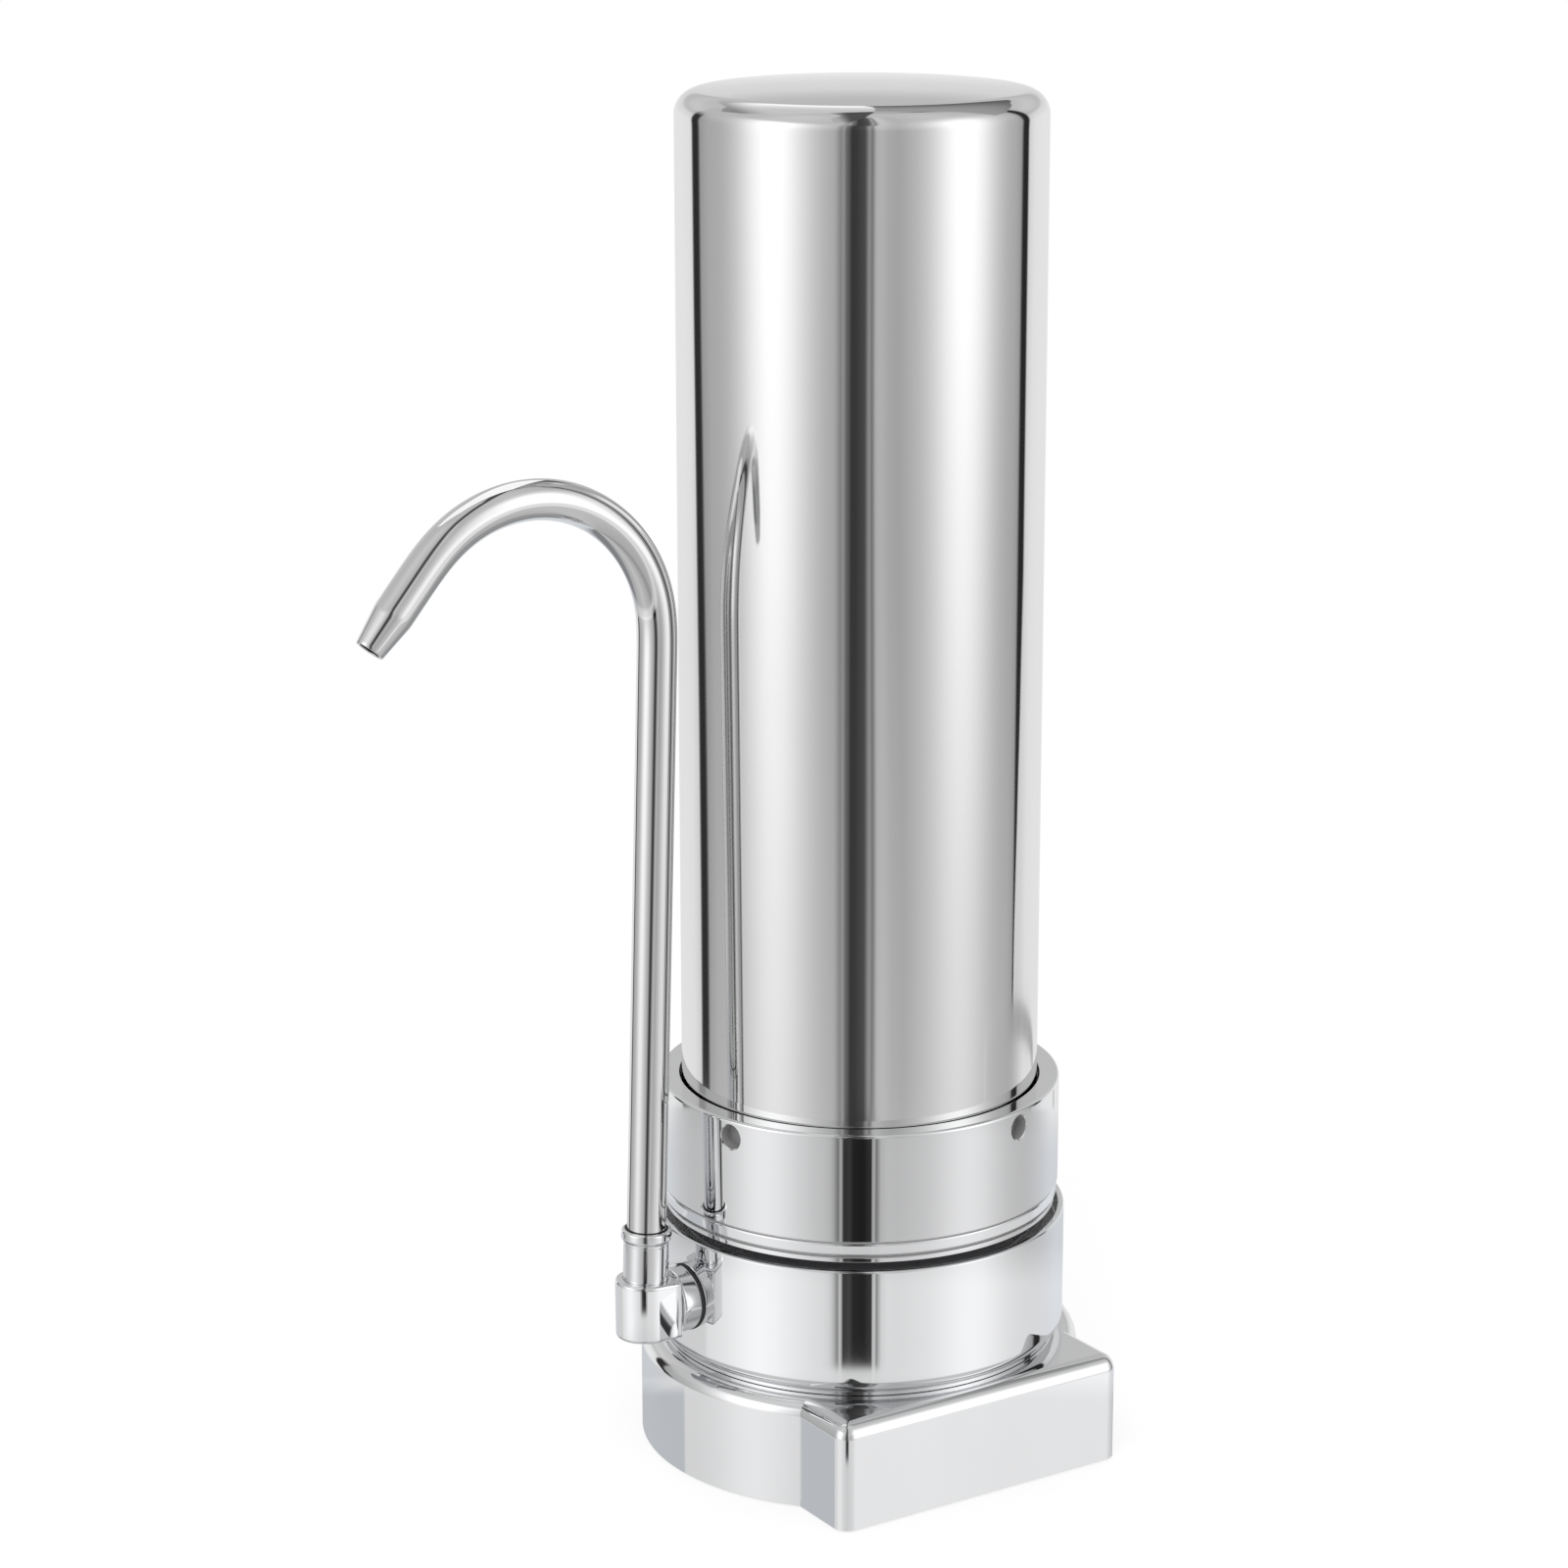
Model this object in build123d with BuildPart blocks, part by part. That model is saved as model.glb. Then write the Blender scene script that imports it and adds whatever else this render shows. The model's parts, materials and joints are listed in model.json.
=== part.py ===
from build123d import *
import os
from math import cos, radians, sin, sqrt

os.makedirs("parts", exist_ok=True)

# Clearances, in millimetres
slip_gap = 0.3  # between pieces that pass each other
running_gap = 0.05  # radial, a fit that turns or slides
seat_gap = 0.05  # radial, pieces that are fixed to each other
overrun = 1.0  # how far a cut passes the face that it opens

# Heights, stacked from the counter up
pad_proud = 0.5
foot_height = 28.25
spacer_height = 2.0
cup_height = 32.25
collar_gap = 2.2
collar_height = 33.2
lip_height = 8.9
washer_height = 1.2
flange_height = 3.0
housing_length = 263.8

foot_top = pad_proud + foot_height
cup_bottom = foot_top + spacer_height
cup_rim = cup_bottom + cup_height
collar_bottom = cup_rim + collar_gap
collar_top = collar_bottom + collar_height
lip_bottom = collar_top - lip_height
flange_top = lip_bottom - washer_height
neck_top = flange_top - flange_height
housing_top = flange_top + housing_length
port_height = cup_bottom + cup_height / 2

# Radii, stacked from the housing outwards
housing_radius = 46.0
housing_wall = 1.0
flange_reach = 2.5
flange_step = 1.0
thread_depth = 0.7
thread_gap = 0.35
neck_wall = 5.3
collar_wall = 2.2
cup_overhang = 1.75
foot_ledge = 3.7

flange_radius = housing_radius + flange_reach
flange_bore = housing_radius - housing_wall - flange_step
neck_radius = flange_radius - thread_depth
chamber_radius = neck_radius - neck_wall
collar_crest = flange_radius + thread_gap
collar_bore = collar_crest + thread_depth
collar_radius = collar_bore + collar_wall
cup_radius = collar_radius + cup_overhang
foot_radius = cup_radius + foot_ledge

# Housing crown
crown_rise = 2.2
crown_corner = 6.0

# Threads, as plain rings of one profile
thread_pitch = 3.0
thread_land = 0.8
thread_foot = 1.8
thread_turns = 4
thread_start = 4.5  # first neck ring below the neck's top
collar_thread_start = 3.4  # first collar ring above the collar's lower end

# Locking collar
lip_clearance = 0.6
spanner_radius = 3.1
spanner_depth = 3.6
spanner_drop = 4.6
spanner_count = 4
spanner_turn = 17.5
collar_round = 0.8
bead_zone = 5.0
bead_groove = 0.35
bead_step = 0.5
bead_chamfer = 1.2

# Head
rim_wall = 1.8
rim_round = 0.6
trench_depth = 5.0
shoulder_wall = 4.0
cup_wall = 5.0
cup_round = 3.0
floor_thickness = 5.0
floor_lift = 0.9  # chamber floor above the collar's lower end
passage_radius = 3.6
riser_radius = 3.2
duct_wall = 5.4
port_depth = 8.0
stud_radius = 6.0
o_ring_section = 2.4
o_ring_squeeze = 0.35
o_ring_wall = 1.0

# Candle
candle_radius = 32.0
crown_room = 35.0  # to lift the candle out of its socket under the crown
candle_dome = 12.0
candle_corner = 14.0
ceramic_wall = 7.0
mount_wall = 2.0
mount_floor = 4.0
mount_height = 14.0
nozzle_radius = 8.0
nozzle_length = 14.0
nozzle_bore = 3.5
nozzle_ring = 1.8
nozzle_ring_drop = 4.5
nozzle_ring_pitch = 5.0
core_headroom = 22.0
core_bore = 5.0

# Foot
block_width = 86.0
block_corner = 4.0
foot_edge = 4.0
foot_wall = 2.5
foot_roof = 3.0
plate_recess = 1.0
plate_thickness = 2.5
pad_inset = 1.5
post_inset = 12.0
post_radius = 4.5
rear_post_turn = 60.0
spacer_inset = 2.2
spacer_width = 5.8

# Screws
base_screw_radius = 2.0
base_screw_head = 3.5
base_screw_head_height = 2.4
base_screw_reach = 12.0
base_screw_circle = 36.0
base_screw_turn = 45.0
plate_screw_radius = 1.5
plate_screw_head = 3.0
plate_screw_reach = 9.0
screw_count = 4
pad_hole_margin = 1.2
hole_gap = 0.2

# Elbow and its stud
gasket_thickness = 1.5
gasket_width = 2.5
stud_flange = 3.5
stud_grip = 5.0
elbow_reach = 6.9
elbow_wall = 1.6
elbow_round = 0.8

gasket_radius = stud_radius + gasket_width
elbow_radius = stud_radius + elbow_wall
elbow_height = 2 * (stud_radius + seat_gap + elbow_wall)

# Spout and swivel
spout_lean = 1.83
tube_radius = 5.0
tube_wall = 0.9
spout_rise = 175.3
bend_radius = 35.7
bend_angle = 141.7
tail_length = 14.7
taper_length = 9.9
tip_radius = 3.7
tip_wall = 0.6
swivel_wall = 0.8
swivel_height = 13.4
swivel_floor = 0.4
swivel_lip = 0.6
swivel_lip_height = 2.1
bush_drop = 0.4
stem_lift = 1.0
stem_length = 9.5
stem_plug = 7.5
stem_wall = 1.1
stem_ring = 1.5
stem_ring_depth = 0.9
stem_ring_drop = 3.0
stem_ring_pitch = 4.0

# Inlet push fitting
tube_socket_radius = 3.25
tube_socket_depth = 6.0
inlet_hex_flats = 17.0
inlet_hex_length = 6.0
inlet_body_radius = 7.2
inlet_body_length = 12.0
inlet_bore = 2.4
collet_radius = 5.0
collet_depth = 9.0
collet_head_radius = 6.2
collet_head_length = 1.6
collet_travel = 1.5
inlet_ring_width = 2.0


def domed_outline(radius, low, high, rise, corner):
    """Half section of a round shell with a domed, rounded crown."""
    with BuildSketch(Plane.XZ) as outline:
        with BuildLine():
            Polyline((0, high), (0, low), (radius, low), (radius, high - rise))
            TangentArc((0, high), (radius, high - rise), tangent=(1, 0))
        make_face()
        fillet(outline.vertices().group_by(Axis.X)[-1].sort_by(Axis.Y)[-1], corner)
    return outline.sketch


def foot_outline(inset, height):
    """Plan of the foot, a round with a square front, drawn in from its edge."""
    with BuildSketch(Plane.XY.offset(height)) as outline:
        Circle(foot_radius - inset)
        with Locations((0, inset / 2 - foot_radius / 2)):
            Rectangle(block_width - 2 * inset, foot_radius - inset)
    return outline.sketch


def ring_section(inner, outer, low, high, corner):
    """Rounded section of a seal ring."""
    with BuildSketch(Plane.XZ) as section:
        with Locations(((inner + outer) / 2, (low + high) / 2)):
            RectangleRounded(outer - inner, high - low, corner)
    return section.sketch


def thread_section(root, crest, first, step):
    """Section of the thread rings, from a root radius to a crest radius."""
    with BuildSketch(Plane.XZ) as section:
        for ring in range(thread_turns):
            with BuildLine():
                middle = first + step * ring
                Polyline(
                    (root, middle - thread_foot / 2),
                    (crest, middle - thread_land / 2),
                    (crest, middle + thread_land / 2),
                    (root, middle + thread_foot / 2),
                    close=True,
                )
            make_face()
    return section.sketch


def saddle_gasket(outward):
    """Round gasket with one face hollowed to sit on the cup's wall."""
    sag = cup_radius - sqrt(cup_radius**2 - gasket_radius**2)
    port = Plane(origin=(0, 0, port_height), z_dir=outward)
    with BuildPart() as gasket:
        with BuildSketch(port.offset(cup_radius - sag)):
            Circle(gasket_radius)
            Circle(stud_radius + seat_gap, mode=Mode.SUBTRACT)
        extrude(amount=gasket_thickness + sag)
        with BuildSketch(Plane.XY.offset(cup_bottom)):
            Circle(cup_radius + running_gap)
        extrude(amount=cup_height, mode=Mode.SUBTRACT)
    return gasket.part


left_port = Plane(origin=(0, 0, port_height), z_dir=(-1, 0, 0))
rear_port = Plane(origin=(0, 0, port_height), z_dir=(0, 1, 0))

# Screw places, shared by the pieces that they pass through
front_post = (block_width / 2 - post_inset, post_inset - foot_radius)
rear_post_radius = foot_radius - post_inset
rear_bearing = radians(rear_post_turn)
rear_post = (rear_post_radius * cos(rear_bearing), rear_post_radius * sin(rear_bearing))
post_places = [(side * x, y) for x, y in (front_post, rear_post) for side in (-1, 1)]

plate_bottom = pad_proud + plate_recess
plate_top = plate_bottom + plate_thickness
roof_bottom = foot_top - foot_roof

# Foot: round shell and square block, each rounded by itself and then joined
with BuildPart() as front_block:
    with BuildSketch(Plane.XY.offset(pad_proud)):
        with Locations((0, -foot_radius / 2)):
            Rectangle(block_width, foot_radius)
    extrude(amount=foot_height)
    fillet(front_block.edges().filter_by(Axis.Z).group_by(Axis.Y)[0], block_corner)
    top_edges = front_block.faces().sort_by(Axis.Z)[-1].edges()
    fillet(top_edges.sort_by(Axis.Y)[:-1], foot_edge)

with BuildPart() as base_foot:
    with BuildSketch(Plane.XY.offset(pad_proud)):
        Circle(foot_radius)
    extrude(amount=foot_height)
    fillet(base_foot.faces().sort_by(Axis.Z)[-1].edges(), foot_edge)
    add(front_block.part)
    foot_cavity = foot_outline(foot_wall, pad_proud - overrun)
    extrude(foot_cavity, amount=roof_bottom - pad_proud + overrun, mode=Mode.SUBTRACT)
    with BuildSketch(Plane.XY.offset(plate_top)):
        with Locations(*post_places):
            Circle(post_radius)
    extrude(amount=roof_bottom - plate_top)
    with BuildSketch(Plane.XY.offset(plate_top - overrun)):
        with Locations(*post_places):
            Circle(plate_screw_radius + seat_gap)
    extrude(amount=plate_screw_reach + 2 * overrun, mode=Mode.SUBTRACT)
    with BuildSketch(Plane.XY.offset(roof_bottom - overrun)):
        with PolarLocations(base_screw_circle, screw_count, base_screw_turn):
            Circle(base_screw_radius + hole_gap)
    extrude(amount=foot_roof + 2 * overrun, mode=Mode.SUBTRACT)
base_foot.part.label = "base_foot"
export_step(base_foot.part, "parts/base_foot.step")

# Bottom plate, closes the foot from below
with BuildPart() as bottom_plate:
    extrude(foot_outline(foot_wall + slip_gap, plate_bottom), amount=plate_thickness)
    with Locations(*[(x, y, plate_bottom) for x, y in post_places]):
        with Locations(Rotation(180, 0, 0)):
            CounterSinkHole(
                plate_screw_radius + hole_gap,
                plate_screw_head + hole_gap,
                plate_thickness + overrun,
            )
bottom_plate.part.label = "bottom_plate"
export_step(bottom_plate.part, "parts/bottom_plate.step")

# Rubber foot pad, glued under the plate, with holes over the screws
with BuildPart() as foot_pad:
    extrude(foot_outline(foot_wall + slip_gap + pad_inset, 0), amount=plate_bottom)
    with BuildSketch(Plane.XY):
        with Locations(*post_places):
            Circle(plate_screw_head + pad_hole_margin)
    extrude(amount=plate_bottom, mode=Mode.SUBTRACT)
foot_pad.part.label = "foot_pad"
export_step(foot_pad.part, "parts/foot_pad.step")

# Plate screws, countersunk and flush with the plate
with BuildPart() as plate_screws:
    for place in post_places:
        with BuildSketch(Plane((*place, plate_bottom))):
            Circle(plate_screw_head)
        with BuildSketch(Plane((*place, plate_bottom + plate_screw_head - plate_screw_radius))):
            Circle(plate_screw_radius)
        loft()
    with BuildSketch(Plane.XY.offset(plate_bottom + plate_screw_head - plate_screw_radius)):
        with Locations(*post_places):
            Circle(plate_screw_radius)
    extrude(amount=plate_screw_reach)
plate_screws.part.label = "plate_screws"
export_step(plate_screws.part, "parts/plate_screws.step")

# Spacer seal in the groove between foot and head
with BuildPart() as base_seal:
    with BuildSketch(Plane.XY.offset(foot_top)):
        Circle(cup_radius - spacer_inset)
        Circle(cup_radius - spacer_inset - spacer_width, mode=Mode.SUBTRACT)
    extrude(amount=spacer_height)
base_seal.part.label = "base_seal"
export_step(base_seal.part, "parts/base_seal.step")

# Base screws, up through the foot's roof into the head's bosses
with BuildPart() as base_screws:
    with BuildSketch(Plane.XY.offset(roof_bottom - base_screw_head_height)):
        with PolarLocations(base_screw_circle, screw_count, base_screw_turn):
            Circle(base_screw_head)
    extrude(amount=base_screw_head_height)
    with BuildSketch(Plane.XY.offset(roof_bottom)):
        with PolarLocations(base_screw_circle, screw_count, base_screw_turn):
            Circle(base_screw_radius)
    extrude(amount=foot_roof + spacer_height + base_screw_reach)
base_screws.part.label = "base_screws"
export_step(base_screws.part, "parts/base_screws.step")

# Head: cup, threaded neck, chamber floor, candle socket, ducts to both ports
trench_bottom = cup_rim - trench_depth
floor_top = collar_bottom + floor_lift
floor_bottom = floor_top - floor_thickness
shoulder_bottom = trench_bottom - shoulder_wall
cavity_radius = cup_radius - cup_wall
socket_radius = nozzle_radius + slip_gap
socket_bottom = port_height - passage_radius
boss_radius = socket_radius + duct_wall
duct_radius = passage_radius + duct_wall
boss_bottom = port_height - duct_radius
riser_place = (chamber_radius + candle_radius + mount_wall) / 2
o_ring_outer = neck_radius - o_ring_wall
o_ring_inner = o_ring_outer - o_ring_section
o_ring_bottom = neck_top - o_ring_section + o_ring_squeeze
ring_corner = o_ring_section / 3
o_ring_groove = ring_section(
    o_ring_inner - seat_gap,
    o_ring_outer + seat_gap,
    o_ring_bottom - seat_gap,
    neck_top + o_ring_section,
    ring_corner,
)
neck_thread = thread_section(neck_radius, flange_radius, neck_top - thread_start, -thread_pitch)

with BuildPart() as head:
    with BuildSketch(Plane.XZ) as head_section:
        with BuildLine():
            Polyline(
                (cavity_radius, cup_bottom),
                (cup_radius, cup_bottom),
                (cup_radius, cup_rim),
                (cup_radius - rim_wall, cup_rim),
                (cup_radius - rim_wall, trench_bottom),
                (neck_radius, trench_bottom),
                (neck_radius, neck_top),
                (chamber_radius, neck_top),
                (chamber_radius, floor_top),
                (0, floor_top),
                (0, boss_bottom),
                (boss_radius, boss_bottom),
                (boss_radius, floor_bottom),
                (chamber_radius, floor_bottom),
                (chamber_radius, shoulder_bottom),
                (cavity_radius, shoulder_bottom),
                close=True,
            )
        make_face()
        outer_corners = head_section.vertices().group_by(Axis.X)[-1].sort_by(Axis.Y)
        fillet(outer_corners[0], cup_round)
        fillet(head_section.vertices().group_by(Axis.X)[-1].sort_by(Axis.Y)[-1], rim_round)
    revolve(axis=Axis.Z)
    revolve(neck_thread, axis=Axis.Z)
    with BuildSketch(left_port):
        Circle(duct_radius)
    extrude(amount=cavity_radius + cup_wall / 2)
    with BuildSketch(rear_port.offset(riser_place - duct_radius)):
        Circle(duct_radius)
    extrude(amount=cavity_radius + cup_wall / 2 - riser_place + duct_radius)
    with BuildSketch(Plane.XY.offset(port_height)):
        with Locations((0, riser_place)):
            Circle(riser_radius + duct_wall / 2)
    extrude(amount=floor_bottom - port_height + floor_thickness / 2)
    with BuildSketch(Plane.XY.offset(cup_bottom)):
        with PolarLocations(base_screw_circle, screw_count, base_screw_turn):
            Circle(post_radius)
    extrude(amount=floor_bottom - cup_bottom + floor_thickness / 2)
    revolve(o_ring_groove, axis=Axis.Z, mode=Mode.SUBTRACT)
    with BuildSketch(Plane.XY.offset(socket_bottom)):
        Circle(socket_radius)
    extrude(amount=floor_top - socket_bottom + overrun, mode=Mode.SUBTRACT)
    with BuildSketch(left_port):
        Circle(passage_radius)
    extrude(amount=cup_radius + overrun, mode=Mode.SUBTRACT)
    with BuildSketch(rear_port.offset(riser_place)):
        Circle(passage_radius)
    extrude(amount=cup_radius - riser_place + overrun, mode=Mode.SUBTRACT)
    with BuildSketch(Plane.XY.offset(port_height)):
        with Locations((0, riser_place)):
            Circle(riser_radius)
    extrude(amount=floor_top - port_height + overrun, mode=Mode.SUBTRACT)
    with BuildSketch(left_port.offset(cup_radius - port_depth), rear_port.offset(cup_radius - port_depth)):
        Circle(stud_radius + seat_gap)
    extrude(amount=port_depth + overrun, mode=Mode.SUBTRACT)
    with BuildSketch(Plane.XY.offset(cup_bottom - overrun)):
        with PolarLocations(base_screw_circle, screw_count, base_screw_turn):
            Circle(base_screw_radius + seat_gap)
    extrude(amount=base_screw_reach + 2 * overrun, mode=Mode.SUBTRACT)
head.part.label = "head"
export_step(head.part, "parts/head.step")

# Housing O-ring, squeezed level with the neck's top
with BuildPart() as housing_o_ring:
    revolve(ring_section(o_ring_inner, o_ring_outer, o_ring_bottom, neck_top, ring_corner), axis=Axis.Z)
housing_o_ring.part.label = "housing_o_ring"
export_step(housing_o_ring.part, "parts/housing_o_ring.step")

# Housing shell, drawn from sheet, open below
housing_outer = domed_outline(housing_radius, flange_top, housing_top, crown_rise, crown_corner)
housing_inner = domed_outline(
    housing_radius - housing_wall,
    flange_top - overrun,
    housing_top - housing_wall,
    crown_rise,
    crown_corner - housing_wall,
)
with BuildPart() as housing_shell:
    revolve(housing_outer, axis=Axis.Z)
    revolve(housing_inner, axis=Axis.Z, mode=Mode.SUBTRACT)
housing_shell.part.label = "housing_shell"
export_step(housing_shell.part, "parts/housing_shell.step")

# Housing flange, welded under the shell and held by the collar's lip
with BuildPart() as housing_flange:
    with BuildSketch(Plane.XY.offset(neck_top)):
        Circle(flange_radius)
        Circle(flange_bore, mode=Mode.SUBTRACT)
    extrude(amount=flange_height)
housing_flange.part.label = "housing_flange"
export_step(housing_flange.part, "parts/housing_flange.step")

# Slip washer between the flange and the collar's lip
with BuildPart() as slip_washer:
    with BuildSketch(Plane.XY.offset(flange_top)):
        Circle(flange_radius)
        Circle(housing_radius + slip_gap, mode=Mode.SUBTRACT)
    extrude(amount=washer_height)
slip_washer.part.label = "slip_washer"
export_step(slip_washer.part, "parts/slip_washer.step")

# Locking collar with beaded lower edge, inner lip and spanner holes
lip_bore = housing_radius + lip_clearance
bead_top = collar_bottom + bead_zone
bead_height = (bead_zone - bead_chamfer - 2 * bead_step) / 2
lower_bead_top = bead_top - bead_step - bead_height
bead_radius = collar_radius - bead_step / 2
collar_thread = thread_section(collar_bore, collar_crest, collar_bottom + collar_thread_start, thread_pitch)

with BuildPart() as locking_collar:
    with BuildSketch(Plane.XZ) as collar_section:
        with BuildLine():
            Polyline(
                (collar_crest, collar_bottom),
                (bead_radius - bead_chamfer, collar_bottom),
                (bead_radius - bead_step, collar_bottom + bead_chamfer),
                (bead_radius - bead_step, lower_bead_top - bead_step),
                (bead_radius - bead_step - bead_groove, lower_bead_top - bead_step),
                (bead_radius - bead_step - bead_groove, lower_bead_top),
                (bead_radius, lower_bead_top),
                (bead_radius, bead_top - bead_step),
                (collar_radius - bead_step - bead_groove, bead_top - bead_step),
                (collar_radius - bead_step - bead_groove, bead_top),
                (collar_radius, bead_top),
                (collar_radius, collar_top),
                (lip_bore, collar_top),
                (lip_bore, lip_bottom),
                (collar_bore, lip_bottom),
                (collar_bore, collar_bottom + collar_thread_start / 2),
                (collar_crest, collar_bottom + collar_thread_start / 2),
                close=True,
            )
        make_face()
        top_corner = collar_section.vertices().group_by(Axis.X)[-1].sort_by(Axis.Y)[-1]
        fillet(top_corner, collar_round)
    revolve(axis=Axis.Z)
    revolve(collar_thread, axis=Axis.Z)
    for turn in range(spanner_count):
        bearing = radians(spanner_turn + turn * 360 / spanner_count)
        hole_plane = Plane(origin=(0, 0, collar_top - spanner_drop), z_dir=(cos(bearing), sin(bearing), 0))
        with BuildSketch(hole_plane.offset(collar_radius - spanner_depth)):
            Circle(spanner_radius)
        extrude(amount=spanner_depth + overrun, mode=Mode.SUBTRACT)
locking_collar.part.label = "locking_collar"
export_step(locking_collar.part, "parts/locking_collar.step")

# Candle mount: cup for the ceramic, and a nozzle with two ring grooves
mount_radius = candle_radius + mount_wall
ceramic_bottom = floor_top + mount_floor
nozzle_bottom = floor_top - nozzle_length
ring_heights = [floor_top - nozzle_ring_drop - nozzle_ring_pitch * ring for ring in range(2)]
ring_inner = nozzle_radius - nozzle_ring
ring_outer = socket_radius - running_gap

with BuildPart() as candle_mount:
    with BuildSketch(Plane.XZ):
        with BuildLine():
            Polyline(
                (nozzle_bore, nozzle_bottom),
                (nozzle_radius, nozzle_bottom),
                (nozzle_radius, floor_top),
                (mount_radius, floor_top),
                (mount_radius, floor_top + mount_height),
                (candle_radius + running_gap, floor_top + mount_height),
                (candle_radius + running_gap, ceramic_bottom),
                (nozzle_bore, ceramic_bottom),
                close=True,
            )
        make_face()
    revolve(axis=Axis.Z)
    for height in ring_heights:
        low = height - nozzle_ring / 2 - seat_gap
        high = height + nozzle_ring / 2 + seat_gap
        ring_gap = ring_section(ring_inner - seat_gap, nozzle_radius + overrun, low, high, nozzle_ring / 4)
        revolve(ring_gap, axis=Axis.Z, mode=Mode.SUBTRACT)
candle_mount.part.label = "candle_mount"
export_step(candle_mount.part, "parts/candle_mount.step")

# Candle O-rings on the nozzle
with BuildPart() as candle_o_rings:
    for height in ring_heights:
        low = height - nozzle_ring / 2
        high = height + nozzle_ring / 2
        revolve(ring_section(ring_inner, ring_outer, low, high, nozzle_ring / 4), axis=Axis.Z)
candle_o_rings.part.label = "candle_o_rings"
export_step(candle_o_rings.part, "parts/candle_o_rings.step")

# Ceramic shell of the candle
candle_top = housing_top - housing_wall - crown_room
ceramic_outer = domed_outline(candle_radius, ceramic_bottom, candle_top, candle_dome, candle_corner)
ceramic_inner = domed_outline(
    candle_radius - ceramic_wall,
    ceramic_bottom - overrun,
    candle_top - ceramic_wall,
    candle_dome,
    candle_corner - ceramic_wall,
)
with BuildPart() as ceramic_shell:
    revolve(ceramic_outer, axis=Axis.Z)
    revolve(ceramic_inner, axis=Axis.Z, mode=Mode.SUBTRACT)
ceramic_shell.part.label = "ceramic_shell"
export_step(ceramic_shell.part, "parts/ceramic_shell.step")

# Carbon core inside the ceramic, with a blind bore over the nozzle
core_length = candle_top - ceramic_wall - candle_dome - core_headroom - ceramic_bottom
with BuildPart() as carbon_core:
    with BuildSketch(Plane.XY.offset(ceramic_bottom)):
        Circle(candle_radius - ceramic_wall - slip_gap)
    extrude(amount=core_length)
    with BuildSketch(Plane.XY.offset(ceramic_bottom)):
        Circle(core_bore)
    extrude(amount=core_length - ceramic_wall, mode=Mode.SUBTRACT)
carbon_core.part.label = "carbon_core"
export_step(carbon_core.part, "parts/carbon_core.step")

# Elbow gasket and the hollow stud that joins elbow and head
gasket_face = cup_radius + gasket_thickness
elbow_face = gasket_face + stud_flange
elbow_axis = elbow_face + elbow_reach

elbow_gasket = saddle_gasket((-1, 0, 0))
elbow_gasket.label = "elbow_gasket"
export_step(elbow_gasket, "parts/elbow_gasket.step")

with BuildPart() as elbow_stud:
    with BuildSketch(left_port.offset(cup_radius - port_depth)):
        Circle(stud_radius)
    extrude(amount=elbow_face - cup_radius + port_depth + stud_grip)
    with BuildSketch(left_port.offset(gasket_face)):
        Circle(gasket_radius)
    extrude(amount=stud_flange)
    with BuildSketch(left_port.offset(cup_radius - port_depth)):
        Circle(passage_radius)
    extrude(amount=elbow_face - cup_radius + port_depth + stud_grip, mode=Mode.SUBTRACT)
elbow_stud.part.label = "elbow_stud"
export_step(elbow_stud.part, "parts/elbow_stud.step")

# The swivel axis leans towards the housing; its plane's origin is on the port's axis
lean = radians(spout_lean)
swivel_plane = Plane(
    origin=(-elbow_axis, 0, port_height),
    x_dir=(-cos(lean), 0, sin(lean)),
    z_dir=(sin(lean), 0, cos(lean)),
)
bend_plane = Plane(origin=(-elbow_axis, 0, port_height), x_dir=(-cos(lean), 0, sin(lean)), z_dir=(0, 1, 0))
elbow_top = elbow_height / 2
swivel_bottom = stud_radius + swivel_floor
swivel_top = elbow_top + swivel_height
swivel_bore = tube_radius + running_gap
swivel_radius = swivel_bore + swivel_wall

# Elbow body: half round outside, square towards the cup, top square to the swivel axis
with BuildPart() as elbow_body:
    with BuildSketch(Plane.XY.offset(port_height - elbow_height / 2)):
        with Locations((-elbow_axis, 0)):
            Circle(elbow_radius)
        with Locations((-elbow_axis + elbow_reach / 2, 0)):
            Rectangle(elbow_reach, 2 * elbow_radius)
        with Locations((-elbow_face + elbow_radius, 0)):
            Rectangle(2 * elbow_radius, 2 * elbow_radius, mode=Mode.SUBTRACT)
    extrude(amount=elbow_height + elbow_round)
    split(bisect_by=swivel_plane.offset(elbow_top), keep=Keep.BOTTOM)
    fillet(elbow_body.faces().sort_by(Axis.Z)[0].edges(), elbow_round)
    fillet(elbow_body.faces().sort_by(Axis.Z)[-1].edges(), elbow_round)
    with BuildSketch(swivel_plane.offset(swivel_bottom)):
        Circle(swivel_radius + seat_gap)
    extrude(amount=elbow_top - swivel_bottom + overrun, mode=Mode.SUBTRACT)
    with BuildSketch(swivel_plane):
        Circle(passage_radius)
    extrude(amount=swivel_bottom + overrun, mode=Mode.SUBTRACT)
    with BuildSketch(left_port.offset(elbow_face - overrun)):
        Circle(stud_radius + seat_gap)
    extrude(amount=stud_grip + overrun, mode=Mode.SUBTRACT)
    with BuildSketch(left_port.offset(elbow_face)):
        Circle(passage_radius)
    extrude(amount=elbow_reach, mode=Mode.SUBTRACT)
elbow_body.part.label = "elbow_body"
export_step(elbow_body.part, "parts/elbow_body.step")

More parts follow.
